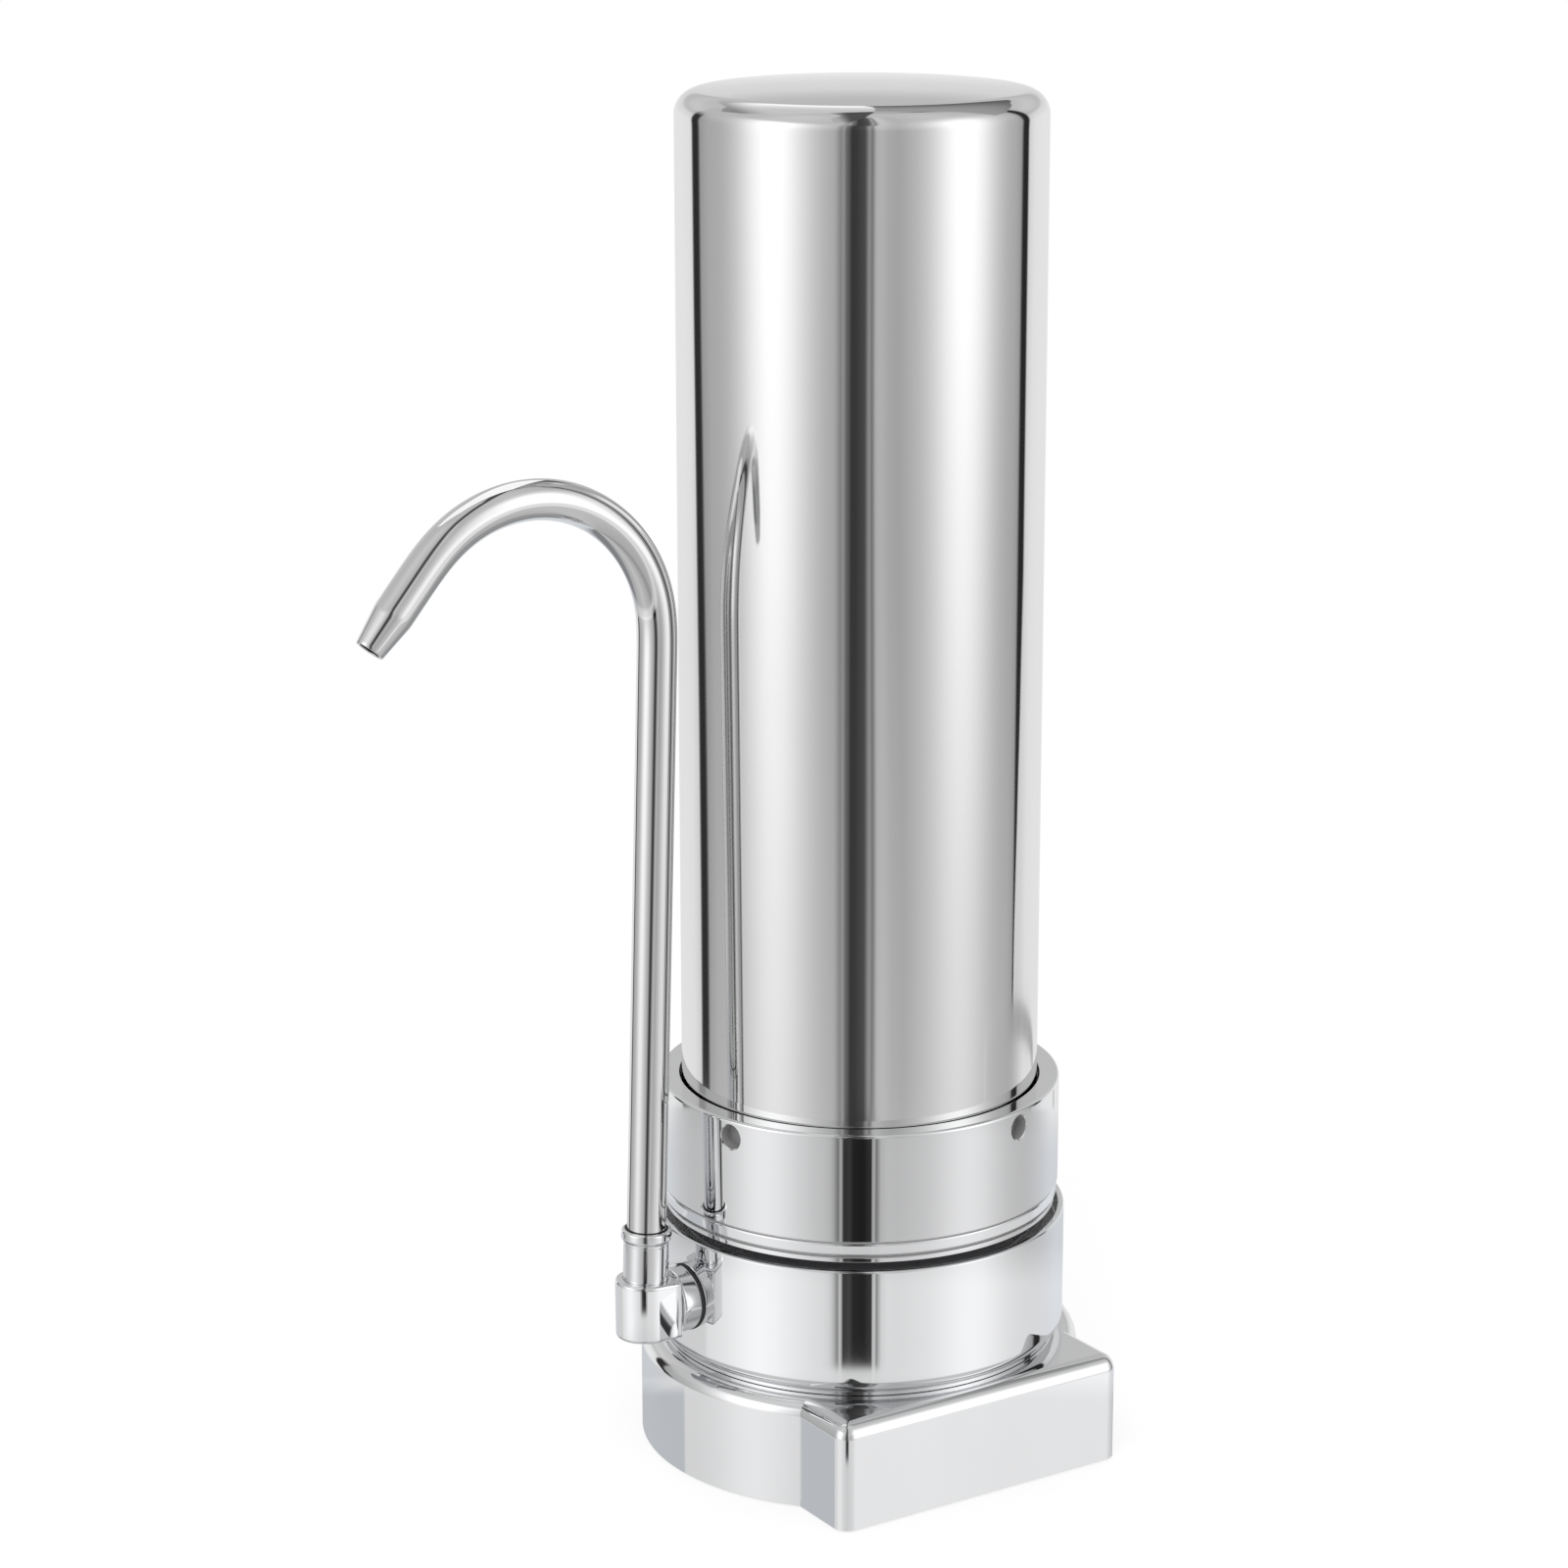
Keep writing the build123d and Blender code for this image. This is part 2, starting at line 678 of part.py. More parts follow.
# Swivel collar with its lip and the recess for the bush
bush_outer = swivel_radius - swivel_wall / 4
with BuildPart() as swivel_collar:
    with BuildSketch(swivel_plane.offset(swivel_bottom)):
        Circle(swivel_radius)
    extrude(amount=swivel_top - swivel_bottom)
    with BuildSketch(swivel_plane.offset(swivel_top - swivel_lip_height)):
        Circle(swivel_radius + swivel_lip)
    extrude(amount=swivel_lip_height)
    with BuildSketch(swivel_plane.offset(swivel_bottom)):
        Circle(swivel_bore)
    extrude(amount=swivel_top - swivel_bottom, mode=Mode.SUBTRACT)
    with BuildSketch(swivel_plane.offset(swivel_top - swivel_lip_height)):
        Circle(bush_outer + seat_gap)
    extrude(amount=swivel_lip_height, mode=Mode.SUBTRACT)
swivel_collar.part.label = "swivel_collar"
export_step(swivel_collar.part, "parts/swivel_collar.step")

# Swivel bush, the dark ring round the tube
with BuildPart() as swivel_bush:
    with BuildSketch(swivel_plane.offset(swivel_top - swivel_lip_height)):
        Circle(bush_outer)
        Circle(swivel_bore, mode=Mode.SUBTRACT)
    extrude(amount=swivel_lip_height - bush_drop)
swivel_bush.part.label = "swivel_bush"
export_step(swivel_bush.part, "parts/swivel_bush.step")

# Spout stem, turned insert in the tube's lower end, with two ring grooves
stem_bottom = swivel_bottom + stem_lift
tube_bottom = stem_bottom + stem_length
tube_bore = tube_radius - tube_wall
stem_bore = tube_bore - stem_wall
stem_rings = [tube_bottom - stem_ring_drop - stem_ring_pitch * ring for ring in range(2)]
stem_ring_inner = tube_radius - stem_ring_depth

with BuildPart() as spout_stem:
    with BuildSketch(swivel_plane.offset(stem_bottom)):
        Circle(tube_radius)
    extrude(amount=stem_length)
    with BuildSketch(swivel_plane.offset(tube_bottom)):
        Circle(tube_bore - seat_gap)
    extrude(amount=stem_plug)
    with BuildSketch(swivel_plane.offset(stem_bottom)):
        Circle(stem_bore)
    extrude(amount=stem_length + stem_plug, mode=Mode.SUBTRACT)
    for height in stem_rings:
        with BuildSketch(swivel_plane.offset(height - stem_ring / 2)):
            Circle(tube_radius + overrun)
            Circle(stem_ring_inner, mode=Mode.SUBTRACT)
        extrude(amount=stem_ring, mode=Mode.SUBTRACT)
spout_stem.part.label = "spout_stem"
export_step(spout_stem.part, "parts/spout_stem.step")

# Spout O-rings in the stem's grooves
with BuildPart() as spout_o_rings:
    for height in stem_rings:
        with BuildSketch(swivel_plane.offset(height - stem_ring / 2 + seat_gap)):
            Circle(swivel_bore - running_gap / 2)
            Circle(stem_ring_inner + seat_gap, mode=Mode.SUBTRACT)
        extrude(amount=stem_ring - 2 * seat_gap)
spout_o_rings.part.label = "spout_o_rings"
export_step(spout_o_rings.part, "parts/spout_o_rings.step")

# Spout tube: straight rise, one bend, straight tail, tapered nozzle
with BuildPart() as spout_tube:
    with BuildLine(bend_plane) as spout_path:
        rise = Line((0, tube_bottom), (0, spout_rise))
        bend = JernArc(rise @ 1, rise % 1, bend_radius, -bend_angle)
        Line(bend @ 1, bend @ 1 + tail_length * (bend % 1))
    tip_plane = Plane(origin=spout_path.wire() @ 1, z_dir=spout_path.wire() % 1)
    with BuildSketch(swivel_plane.offset(tube_bottom)):
        Circle(tube_radius)
    sweep(path=spout_path.wire())
    with BuildSketch(tip_plane):
        Circle(tube_radius)
    with BuildSketch(tip_plane.offset(taper_length)):
        Circle(tip_radius)
    loft()
    with BuildSketch(swivel_plane.offset(tube_bottom)):
        Circle(tube_bore)
    sweep(path=spout_path.wire(), mode=Mode.SUBTRACT)
    with BuildSketch(tip_plane):
        Circle(tube_bore)
    with BuildSketch(tip_plane.offset(taper_length)):
        Circle(tip_radius - tip_wall)
    loft(mode=Mode.SUBTRACT)
spout_tube.part.label = "spout_tube"
export_step(spout_tube.part, "parts/spout_tube.step")

# Inlet push fitting at the back, with its washer
hex_end = gasket_face + inlet_hex_length
body_end = hex_end + inlet_body_length
collet_bottom = body_end - collet_depth
ring_bottom = collet_bottom - inlet_ring_width
socket_floor = ring_bottom - tube_socket_depth

inlet_washer = saddle_gasket((0, 1, 0))
inlet_washer.label = "inlet_washer"
export_step(inlet_washer, "parts/inlet_washer.step")

with BuildPart() as inlet_fitting:
    with BuildSketch(rear_port.offset(cup_radius - port_depth)):
        Circle(stud_radius)
    extrude(amount=gasket_face - cup_radius + port_depth)
    with BuildSketch(rear_port.offset(gasket_face)):
        RegularPolygon(inlet_hex_flats / 2, 6, major_radius=False)
    extrude(amount=inlet_hex_length)
    with BuildSketch(rear_port.offset(hex_end)):
        Circle(inlet_body_radius)
    extrude(amount=inlet_body_length)
    with BuildSketch(rear_port.offset(ring_bottom)):
        Circle(collet_radius + running_gap)
    extrude(amount=body_end - ring_bottom, mode=Mode.SUBTRACT)
    with BuildSketch(rear_port.offset(socket_floor)):
        Circle(tube_socket_radius)
    extrude(amount=tube_socket_depth, mode=Mode.SUBTRACT)
    with BuildSketch(rear_port.offset(cup_radius - port_depth)):
        Circle(inlet_bore)
    extrude(amount=socket_floor - cup_radius + port_depth, mode=Mode.SUBTRACT)
inlet_fitting.part.label = "inlet_fitting"
export_step(inlet_fitting.part, "parts/inlet_fitting.step")

# Inlet O-ring, under the collet
with BuildPart() as inlet_o_ring:
    with BuildSketch(rear_port.offset(ring_bottom)):
        Circle(collet_radius)
        Circle(tube_socket_radius + seat_gap, mode=Mode.SUBTRACT)
    extrude(amount=inlet_ring_width)
inlet_o_ring.part.label = "inlet_o_ring"
export_step(inlet_o_ring.part, "parts/inlet_o_ring.step")

# Inlet collet, pressed inwards to free the hose
collet_head = body_end + collet_travel + slip_gap
with BuildPart() as inlet_collet:
    with BuildSketch(rear_port.offset(collet_bottom + collet_travel + slip_gap)):
        Circle(collet_radius)
    extrude(amount=collet_head - collet_bottom - collet_travel - slip_gap)
    with BuildSketch(rear_port.offset(collet_head)):
        Circle(collet_head_radius)
    extrude(amount=collet_head_length)
    with BuildSketch(rear_port.offset(collet_bottom)):
        Circle(tube_socket_radius + seat_gap)
    extrude(amount=collet_head + collet_head_length - collet_bottom, mode=Mode.SUBTRACT)
inlet_collet.part.label = "inlet_collet"
export_step(inlet_collet.part, "parts/inlet_collet.step")
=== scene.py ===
import json
import math

import bmesh
import bpy
from mathutils import Matrix, Vector


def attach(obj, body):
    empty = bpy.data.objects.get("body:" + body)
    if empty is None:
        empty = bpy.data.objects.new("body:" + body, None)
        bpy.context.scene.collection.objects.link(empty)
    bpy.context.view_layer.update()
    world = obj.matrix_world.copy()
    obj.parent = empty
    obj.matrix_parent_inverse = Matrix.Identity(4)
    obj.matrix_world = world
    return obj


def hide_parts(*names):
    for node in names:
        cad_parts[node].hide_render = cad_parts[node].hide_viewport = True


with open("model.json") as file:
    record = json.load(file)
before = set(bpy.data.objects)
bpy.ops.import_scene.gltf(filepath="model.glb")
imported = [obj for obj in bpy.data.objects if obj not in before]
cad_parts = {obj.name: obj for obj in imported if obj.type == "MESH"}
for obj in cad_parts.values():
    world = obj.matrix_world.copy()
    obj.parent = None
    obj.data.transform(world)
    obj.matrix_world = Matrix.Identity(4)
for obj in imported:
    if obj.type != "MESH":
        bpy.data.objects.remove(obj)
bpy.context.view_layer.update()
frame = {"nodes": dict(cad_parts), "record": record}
scene = bpy.context.scene
scene.view_settings.view_transform = "Standard"
mm = 0.001
weld = 0.002 * mm  # points closer than this become one
sharpAngle = math.radians(32)  # edges that turn more than this stay sharp
pathRadius = 1.0  # circle that a turned profile is swept round, taken off again by the profile
print("frame loaded:", len(frame["nodes"]), "nodes")


# small helpers for node trees

class signal:
    # a node's output that can be reckoned with like a number
    def __init__(self, tree, socket):
        self.tree, self.socket = tree, socket

    def calc(self, operation, *values):
        made = self.tree.nodes.new("ShaderNodeMath")
        made.operation = operation
        for socket, value in zip(made.inputs, values):
            feed(self.tree, socket, value)
        return signal(self.tree, made.outputs[0])

    def __add__(self, other):
        return self.calc("ADD", self, other)

    def __sub__(self, other):
        return self.calc("SUBTRACT", self, other)

    def __rsub__(self, other):
        return self.calc("SUBTRACT", other, self)

    def __mul__(self, other):
        return self.calc("MULTIPLY", self, other)

    def __truediv__(self, other):
        return self.calc("DIVIDE", self, other)

    def __abs__(self):
        return self.calc("ABSOLUTE", self)

    def atLeast(self, other):
        return self.calc("MAXIMUM", self, other)

    def span(self, low, high, toLow=0.0, toHigh=1.0, kind="SMOOTHSTEP"):
        made = place(self.tree, "ShaderNodeMapRange", {"interpolation_type": kind}, Value=self, From_Min=low,
                     From_Max=high, To_Min=toLow, To_Max=toHigh)
        return signal(self.tree, made.outputs["Result"])


def feed(tree, socket, value):
    # value is a signal, a node's first output, a socket or a constant
    if isinstance(value, signal):
        value = value.socket
    elif isinstance(value, bpy.types.Node):
        value = value.outputs[0]
    if isinstance(value, bpy.types.NodeSocket):
        tree.links.new(value, socket)
    else:
        socket.default_value = value


def place(tree, kind, settings=None, **values):
    made = tree.nodes.new(kind)
    for name, value in (settings or {}).items():
        setattr(made, name, value)
    for name, value in values.items():
        feed(tree, made.inputs[name.replace("_", " ")], value)
    return made


def reading(tree, kind, output, settings=None, **values):
    return signal(tree, place(tree, kind, settings, **values).outputs[output])


def split(tree, kind, **values):
    return [signal(tree, socket) for socket in place(tree, kind, **values).outputs]


def blend(share, low, high):
    return (1.0 - share) * low + share * high


def ramp(tree, value, stops):
    made = place(tree, "ShaderNodeValToRGB", Fac=value)
    elements = made.color_ramp.elements
    while len(elements) < len(stops):
        elements.new(0.5)
    for element, (position, colour) in zip(elements, stops):
        element.position = position
        element.color = (*colour, 1)
    return made


def mixed(tree, kind, first, share, low, high):
    # mix node whose two colours or shaders start at socket number first
    made = tree.nodes.new(kind)
    if kind == "ShaderNodeMix":
        made.data_type = "RGBA"
    for index, value in ((0, share), (first, low), (first + 1, high)):
        feed(tree, made.inputs[index], value)
    return made


def mixColour(tree, share, low, high):
    return mixed(tree, "ShaderNodeMix", 6, share, low, high).outputs[2]


def mixShader(tree, share, low, high):
    return mixed(tree, "ShaderNodeMixShader", 1, share, low, high)


def groupTree(name, kind, inputs, outputs):
    # an input is given by its kind of socket, or by a number where it is a float with that default
    tree = bpy.data.node_groups.new(name, kind)
    for label, given in inputs.items():
        isNumber = isinstance(given, float)
        socketKind = "NodeSocket" + ("Float" if isNumber else given)
        socket = tree.interface.new_socket(label, in_out="INPUT", socket_type=socketKind)
        if isNumber:
            socket.default_value = given
    for label, given in outputs.items():
        tree.interface.new_socket(label, in_out="OUTPUT", socket_type="NodeSocket" + given)
    given = {socket.name: signal(tree, socket) for socket in tree.nodes.new("NodeGroupInput").outputs}
    return tree, given, tree.nodes.new("NodeGroupOutput").inputs


# shader groups that more than one finish uses

def noise(tree, vector, scale, detail, rough):
    return reading(tree, "ShaderNodeTexNoise", "Fac", Vector=vector, Scale=scale, Detail=detail, Roughness=rough)


def stretched(tree, vector, upright):
    return place(tree, "ShaderNodeMapping", Vector=vector, Scale=(1, 1, upright))


def buildPolish():
    # draw lines along the height, a slow waver of the sheet, and soft wiping marks
    tree, given, out = groupTree("polish", "ShaderNodeTree",
                                 {"Line Scale": 900.0, "Wave Scale": 14.0, "Wipe Scale": 9.0},
                                 {"Lines": "Float", "Wave": "Float", "Wipes": "Float"})
    spot = tree.nodes.new("ShaderNodeTexCoord").outputs["Object"]
    wipes = noise(tree, stretched(tree, spot, 0.5), given["Wipe Scale"], 5.0, 0.62)
    feed(tree, out["Lines"], noise(tree, stretched(tree, spot, 0.006), given["Line Scale"], 3.0, 0.6))
    feed(tree, out["Wave"], noise(tree, stretched(tree, spot, 0.35), given["Wave Scale"], 1.0, 0.4))
    feed(tree, out["Wipes"], wipes.span(0.42, 0.74))
    return tree


def buildGrain():
    # moulded or pressed surface: fine grain, coarser mottle and a few specks
    tree, given, out = groupTree("grain", "ShaderNodeTree",
                                 {"Grain Scale": 2400.0, "Mottle Scale": 60.0, "Speck Scale": 700.0},
                                 {"Grain": "Float", "Mottle": "Float", "Specks": "Float"})
    spot = tree.nodes.new("ShaderNodeTexCoord").outputs["Object"]
    specks = reading(tree, "ShaderNodeTexVoronoi", "Distance", Vector=spot, Scale=given["Speck Scale"])
    feed(tree, out["Grain"], noise(tree, spot, given["Grain Scale"], 3.0, 0.6))
    feed(tree, out["Mottle"], noise(tree, spot, given["Mottle Scale"], 4.0, 0.55))
    feed(tree, out["Specks"], specks.span(0.10, 0.22, 1.0, 0.0))
    return tree


polishGroup = buildPolish()
grainGroup = buildGrain()


def useGroup(tree, group, **values):
    made = place(tree, "ShaderNodeGroup", {"node_tree": group}, **values)
    return {socket.name: signal(tree, socket) for socket in made.outputs}


def newFinish(name):
    made = bpy.data.materials.new(name)
    made.use_nodes = True
    return made, made.node_tree, made.node_tree.nodes["Principled BSDF"]


def bumped(tree, shader, height, tone):
    made = place(tree, "ShaderNodeBump", Height=height, Strength=tone["bump"], Distance=tone["depth"] * mm)
    feed(tree, shader.inputs["Normal"], made)


recessShade = dict(colour=(0.30, 0.30, 0.305), lessMetal=0.8, rougher=0.35)  # painted shade: darker, rougher, less metallic grey on the faces marked for it in holes, grooves and the channel


def metalFinish(name, tone):
    made, tree, shader = newFinish(name)
    marks = useGroup(tree, polishGroup, Line_Scale=tone["lineScale"], Wave_Scale=tone["waveScale"])
    # painted shade: marked faces take the darker recess grey, less metal and more roughness
    dull = reading(tree, "ShaderNodeAttribute", "Fac", {"attribute_name": "dull"})
    feed(tree, shader.inputs["Metallic"], 1.0 - dull * recessShade["lessMetal"])
    rough = marks["Lines"] * tone["lineRough"] + marks["Wipes"] * tone["wipeRough"] + tone["rough"]
    feed(tree, shader.inputs["Roughness"], rough + dull * recessShade["rougher"])
    bright = ramp(tree, marks["Wipes"], [(0.0, tone["colour"]), (1.0, tone["wiped"])])
    feed(tree, shader.inputs["Base Color"], mixColour(tree, dull, bright, (*recessShade["colour"], 1)))
    bumped(tree, shader, marks["Wave"] + marks["Lines"] * tone["lineHeight"], tone)
    return made


def mouldedFinish(name, tone):
    made, tree, shader = newFinish(name)
    marks = useGroup(tree, grainGroup, Grain_Scale=tone["grainScale"], Mottle_Scale=tone["mottleScale"])
    plain = ramp(tree, marks["Mottle"], [(0.3, tone["colour"]), (0.7, tone["mottled"])])
    speckled = mixColour(tree, marks["Specks"] * tone["speckShare"], plain, (*tone["speck"], 1))
    feed(tree, shader.inputs["Base Color"], speckled)
    feed(tree, shader.inputs["Roughness"], marks["Mottle"].span(0.25, 0.75, *tone["rough"]))
    bumped(tree, shader, marks["Grain"], tone)
    return made


def grey(level):
    return (level, level, level)


metalTones = {
    "polished_steel": dict(colour=grey(0.735), wiped=grey(0.70), rough=0.035, lineRough=0.035, wipeRough=0.025,
                           lineScale=900.0, waveScale=14.0, lineHeight=0.02, bump=0.12, depth=0.3),
    "chrome_plate": dict(colour=(0.785, 0.788, 0.797), wiped=(0.755, 0.758, 0.767), rough=0.012, lineRough=0.008,
                         wipeRough=0.01, lineScale=500.0, waveScale=22.0, lineHeight=0.01, bump=0.06, depth=0.2),
    "tube_steel": dict(colour=grey(0.725), wiped=grey(0.695), rough=0.03, lineRough=0.02, wipeRough=0.02,
                       lineScale=700.0, waveScale=30.0, lineHeight=0.01, bump=0.05, depth=0.15),
    "stem_brass": dict(colour=(0.72, 0.56, 0.28), wiped=(0.62, 0.47, 0.23), rough=0.16, lineRough=0.08,
                       wipeRough=0.1, lineScale=600.0, waveScale=40.0, lineHeight=0.1, bump=0.1, depth=0.1),
    "screw_steel": dict(colour=(0.60, 0.60, 0.61), wiped=(0.50, 0.50, 0.51), rough=0.24, lineRough=0.12,
                        wipeRough=0.1, lineScale=1500.0, waveScale=60.0, lineHeight=0.2, bump=0.12, depth=0.08),
}
mouldedTones = {
    "black_rubber": dict(colour=(0.016, 0.016, 0.017), mottled=(0.030, 0.030, 0.031), speck=grey(0.08), speckShare=0.15,
                         rough=(0.48, 0.66), grainScale=2600.0, mottleScale=70.0, bump=0.25, depth=0.05),
    "black_plastic": dict(colour=(0.035, 0.035, 0.037), mottled=(0.055, 0.055, 0.057), speck=grey(0.10), speckShare=0.1,
                          rough=(0.36, 0.5), grainScale=3200.0, mottleScale=40.0, bump=0.3, depth=0.05),
    "white_plastic": dict(colour=(0.86, 0.86, 0.84), mottled=(0.81, 0.81, 0.785), speck=(0.70, 0.69, 0.66),
                          speckShare=0.08, rough=(0.30, 0.44), grainScale=2800.0, mottleScale=30.0, bump=0.12,
                          depth=0.04),
    "ceramic": dict(colour=(0.75, 0.72, 0.655), mottled=(0.67, 0.635, 0.56), speck=(0.52, 0.47, 0.39),
                    speckShare=0.35, rough=(0.82, 0.95), grainScale=1700.0, mottleScale=24.0, bump=0.5, depth=0.12),
    "carbon": dict(colour=grey(0.03), mottled=grey(0.055), speck=grey(0.12), speckShare=0.3, rough=(0.8, 0.95),
                   grainScale=1500.0, mottleScale=90.0, bump=0.5, depth=0.2),
}
finishes = {slot: metalFinish(slot, tone) for slot, tone in metalTones.items()}
finishes.update({slot: mouldedFinish(slot, tone) for slot, tone in mouldedTones.items()})
print("finishes:", len(finishes))


# profiles: corners are (radius, height, rounding) in mm

def rounded(corners, steps=7, closed=True):
    # straights get a support point beside each rounding
    points = []
    count = len(corners)
    for index, (r, z, rounding) in enumerate(corners):
        here = Vector((r, z))
        ends = not closed and index in (0, count - 1)
        if ends or rounding == 0:
            points.append(here)
            continue
        before = Vector(corners[index - 1][:2]) - here
        after = Vector(corners[(index + 1) % count][:2]) - here
        turn = math.pi - before.angle(after)
        lead = min(0.25 * rounding, 0.2 * before.length, 0.2 * after.length)
        before.normalize()
        after.normalize()
        reach = rounding * math.tan(turn / 2)
        start, finish = here + before * reach, here + after * reach
        middle = here + (before + after).normalized() * rounding / math.cos(turn / 2)
        first, last = start - middle, finish - middle
        angles = [first.angle_signed(last) * step / steps for step in range(steps + 1)]
        points.append(start + before * lead)
        points += [middle + Matrix.Rotation(-angle, 2) @ first for angle in angles]
        points.append(finish + after * lead)
    return points


def ringLine(bore, radius, low, high, edge, topEdge=None):
    top = topEdge or edge
    return [(bore, low, edge), (radius, low, edge), (radius, high, top), (bore, high, top)]


def dome(radius, top, rise, reach, count):
    # shallow spherical crown from the axis out to reach, then the corner where it meets the wall
    ball = (radius**2 + rise**2) / (2 * rise)
    drop = [ball - math.sqrt(ball**2 - (reach * step / count)**2) for step in range(count + 1)]
    points = [(reach * step / count, top - drop[step], 0) for step in range(count + 1)]
    slope = reach / math.sqrt(ball**2 - reach**2)
    return points, (radius, top - drop[-1] - (radius - reach) * slope)


# meshes from node trees, and what is done to meshes

def linked(name, data):
    made = bpy.data.objects.new(name, data)
    scene.collection.objects.link(made)
    return made


def meshFrom(points, edges, faces=()):
    made = bpy.data.meshes.new("draft")
    made.from_pydata(points, edges, faces)
    return made


def profileMesh(points, offset, closed=True):
    # a profile as the sweeps need it: radius less the path's own, height downwards
    edges = [(i, i + 1) for i in range(len(points) - 1)] + ([(len(points) - 1, 0)] if closed else [])
    return meshFrom([(r * mm - offset, -z * mm, 0) for r, z in points], edges)


def meshOf(work):
    made = bpy.data.meshes.new("draft")
    work.to_mesh(made)
    work.free()
    return made


def applied(carrier):
    graph = bpy.context.evaluated_depsgraph_get()
    made = bpy.data.meshes.new_from_object(carrier.evaluated_get(graph), preserve_all_data_layers=True,
                                           depsgraph=graph)
    bpy.data.objects.remove(carrier)
    return made


def grown(draft, tree, **values):
    # runs the node tree on the draft mesh and returns the result as a plain mesh
    carrier = linked("carrier", draft)
    modifier = carrier.modifiers.new("grow", "NODES")
    modifier.node_group = tree
    sockets = {s.name: s.identifier for s in tree.interface.items_tree if s.in_out == "INPUT"}
    for label, value in values.items():
        modifier[sockets[label.replace("_", " ")]] = value
    return applied(carrier)


def dressed(tree, geometry, finish, socket):
    # ends a geometry tree: real meshes with their finish
    real = place(tree, "GeometryNodeRealizeInstances", Geometry=geometry)
    feed(tree, socket, place(tree, "GeometryNodeSetMaterial", Geometry=real, Material=finish))
    return tree


def smoothed(made):
    made.shade_smooth()
    made.set_sharp_from_angle(angle=sharpAngle)
    return made


def tidyMesh(made):
    work = bmesh.new()
    work.from_mesh(made)
    bmesh.ops.remove_doubles(work, verts=work.verts, dist=weld)
    bmesh.ops.dissolve_degenerate(work, edges=work.edges, dist=weld / 4)
    bmesh.ops.recalc_face_normals(work, faces=work.faces)
    work.to_mesh(made)
    work.free()
    return smoothed(made)


def together(*meshes):
    work = bmesh.new()
    for part in meshes:
        work.from_mesh(part)
    made = meshOf(work)
    made.materials.append(meshes[0].materials[0])
    return smoothed(made)


def cut(made, cutters, operation="DIFFERENCE"):
    # exact boolean of plain meshes, one after another
    carrier = linked("cutting", made)
    tools = [linked("cutter", cutter) for cutter in cutters]
    for tool in tools:
        modifier = carrier.modifiers.new("cut", "BOOLEAN")
        modifier.operation, modifier.solver, modifier.object = operation, "EXACT", tool
    result = applied(carrier)
    for tool in tools:
        bpy.data.objects.remove(tool)
    return result


def roundNormals(made, choose):
    # exact corner normals where choose(face, point) knows the true surface, so that mirrors stay clean
    normals = [corner.vector.copy() for corner in made.corner_normals]
    for face in made.polygons:
        for corner in face.loop_indices:
            exact = choose(face, made.vertices[made.loops[corner].vertex_index].co)
            if exact is not None:
                normals[corner] = exact
    made.normals_split_custom_set(normals)


def wallNormals(radius):
    def choose(face, point):
        flat = Vector((point.x, point.y, 0))
        out = Vector((face.center.x, face.center.y, 0)).normalized()
        if abs(flat.length - radius * mm) < 0.02 * mm and face.normal.dot(out) > 0.98:
            return flat.normalized()
        return None
    return choose


def along(axis, origin):
    # matrix that takes a piece turned about Z to the given axis and place (mm)
    spin = Vector((0, 0, 1)).rotation_difference(Vector(axis)).to_matrix().to_4x4()
    return Matrix.Translation(Vector(origin) * mm) @ spin


def buildTurned():
    tree, given, out = groupTree("turnedPiece", "GeometryNodeTree",
                                 {"Profile": "Geometry", "Segments": "Int", "Finish": "Material"},
                                 {"Piece": "Geometry"})
    profile = place(tree, "GeometryNodeMeshToCurve", Mesh=given["Profile"])
    circle = place(tree, "GeometryNodeCurvePrimitiveCircle", Resolution=given["Segments"], Radius=pathRadius)
    upright = place(tree, "GeometryNodeSetCurveNormal", {"mode": "Z_UP"}, Curve=circle)
    swept = place(tree, "GeometryNodeCurveToMesh", Curve=upright, Profile_Curve=profile)
    merged = place(tree, "GeometryNodeMergeByDistance", Geometry=swept, Distance=weld)
    return dressed(tree, merged, given["Finish"], out["Piece"])


turnedTree = buildTurned()


def turned(points, slot, segments=192, closed=True, turn=None):
    draft = profileMesh(points, pathRadius, closed)
    made = grown(draft, turnedTree, Segments=segments, Finish=finishes[slot])
    if turn is not None:
        made.transform(turn)
    return tidyMesh(made)


def finished(name, made, body, slot, *nodes):
    made.name = name
    piece = linked(name, made)
    if not made.materials:
        made.materials.append(finishes[slot])
    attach(piece, body)
    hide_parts(*nodes)
    return piece


def turnedPiece(name, line, body, slot, node, segments=192, turn=None):
    finished(name, turned(rounded(line), slot, segments, turn=turn), body, slot, node)


# housing, with the flange under the collar's lip and the washer between them

housing = dict(radius=46.0, wall=1.0, bottom=88.3, top=352.1, rise=2.2, corner=6.0, flat=36.0)
flange = dict(bore=44.0, radius=48.5, low=85.3, high=88.3, edge=0.3)
slipWasher = dict(bore=46.3, radius=48.5, low=88.3, high=89.5, edge=0.2)
crown, shoulder = dome(housing["radius"], housing["top"], housing["rise"], housing["flat"], 14)
inner = housing["radius"] - housing["wall"]
ceiling, innerShoulder = dome(inner, housing["top"] - housing["wall"], housing["rise"], housing["flat"] - 1, 14)
housingLine = ceiling + [
    (*innerShoulder, housing["corner"] - housing["wall"]),
    (inner, housing["bottom"], 0.1),
    (housing["radius"], housing["bottom"], 0.2),
    (*shoulder, housing["corner"]),
] + crown[::-1]
housingMesh = turned(rounded(housingLine, 16, closed=False), "polished_steel", 288, closed=False)
finished("housing", housingMesh, "housing", "polished_steel", "housing_shell")
turnedPiece("housingFlange", ringLine(**flange), "housing", "polished_steel", "housing_flange")
turnedPiece("slipWasher", ringLine(**slipWasher), "washer", "white_plastic", "slip_washer")
print("housing turned")


# threads

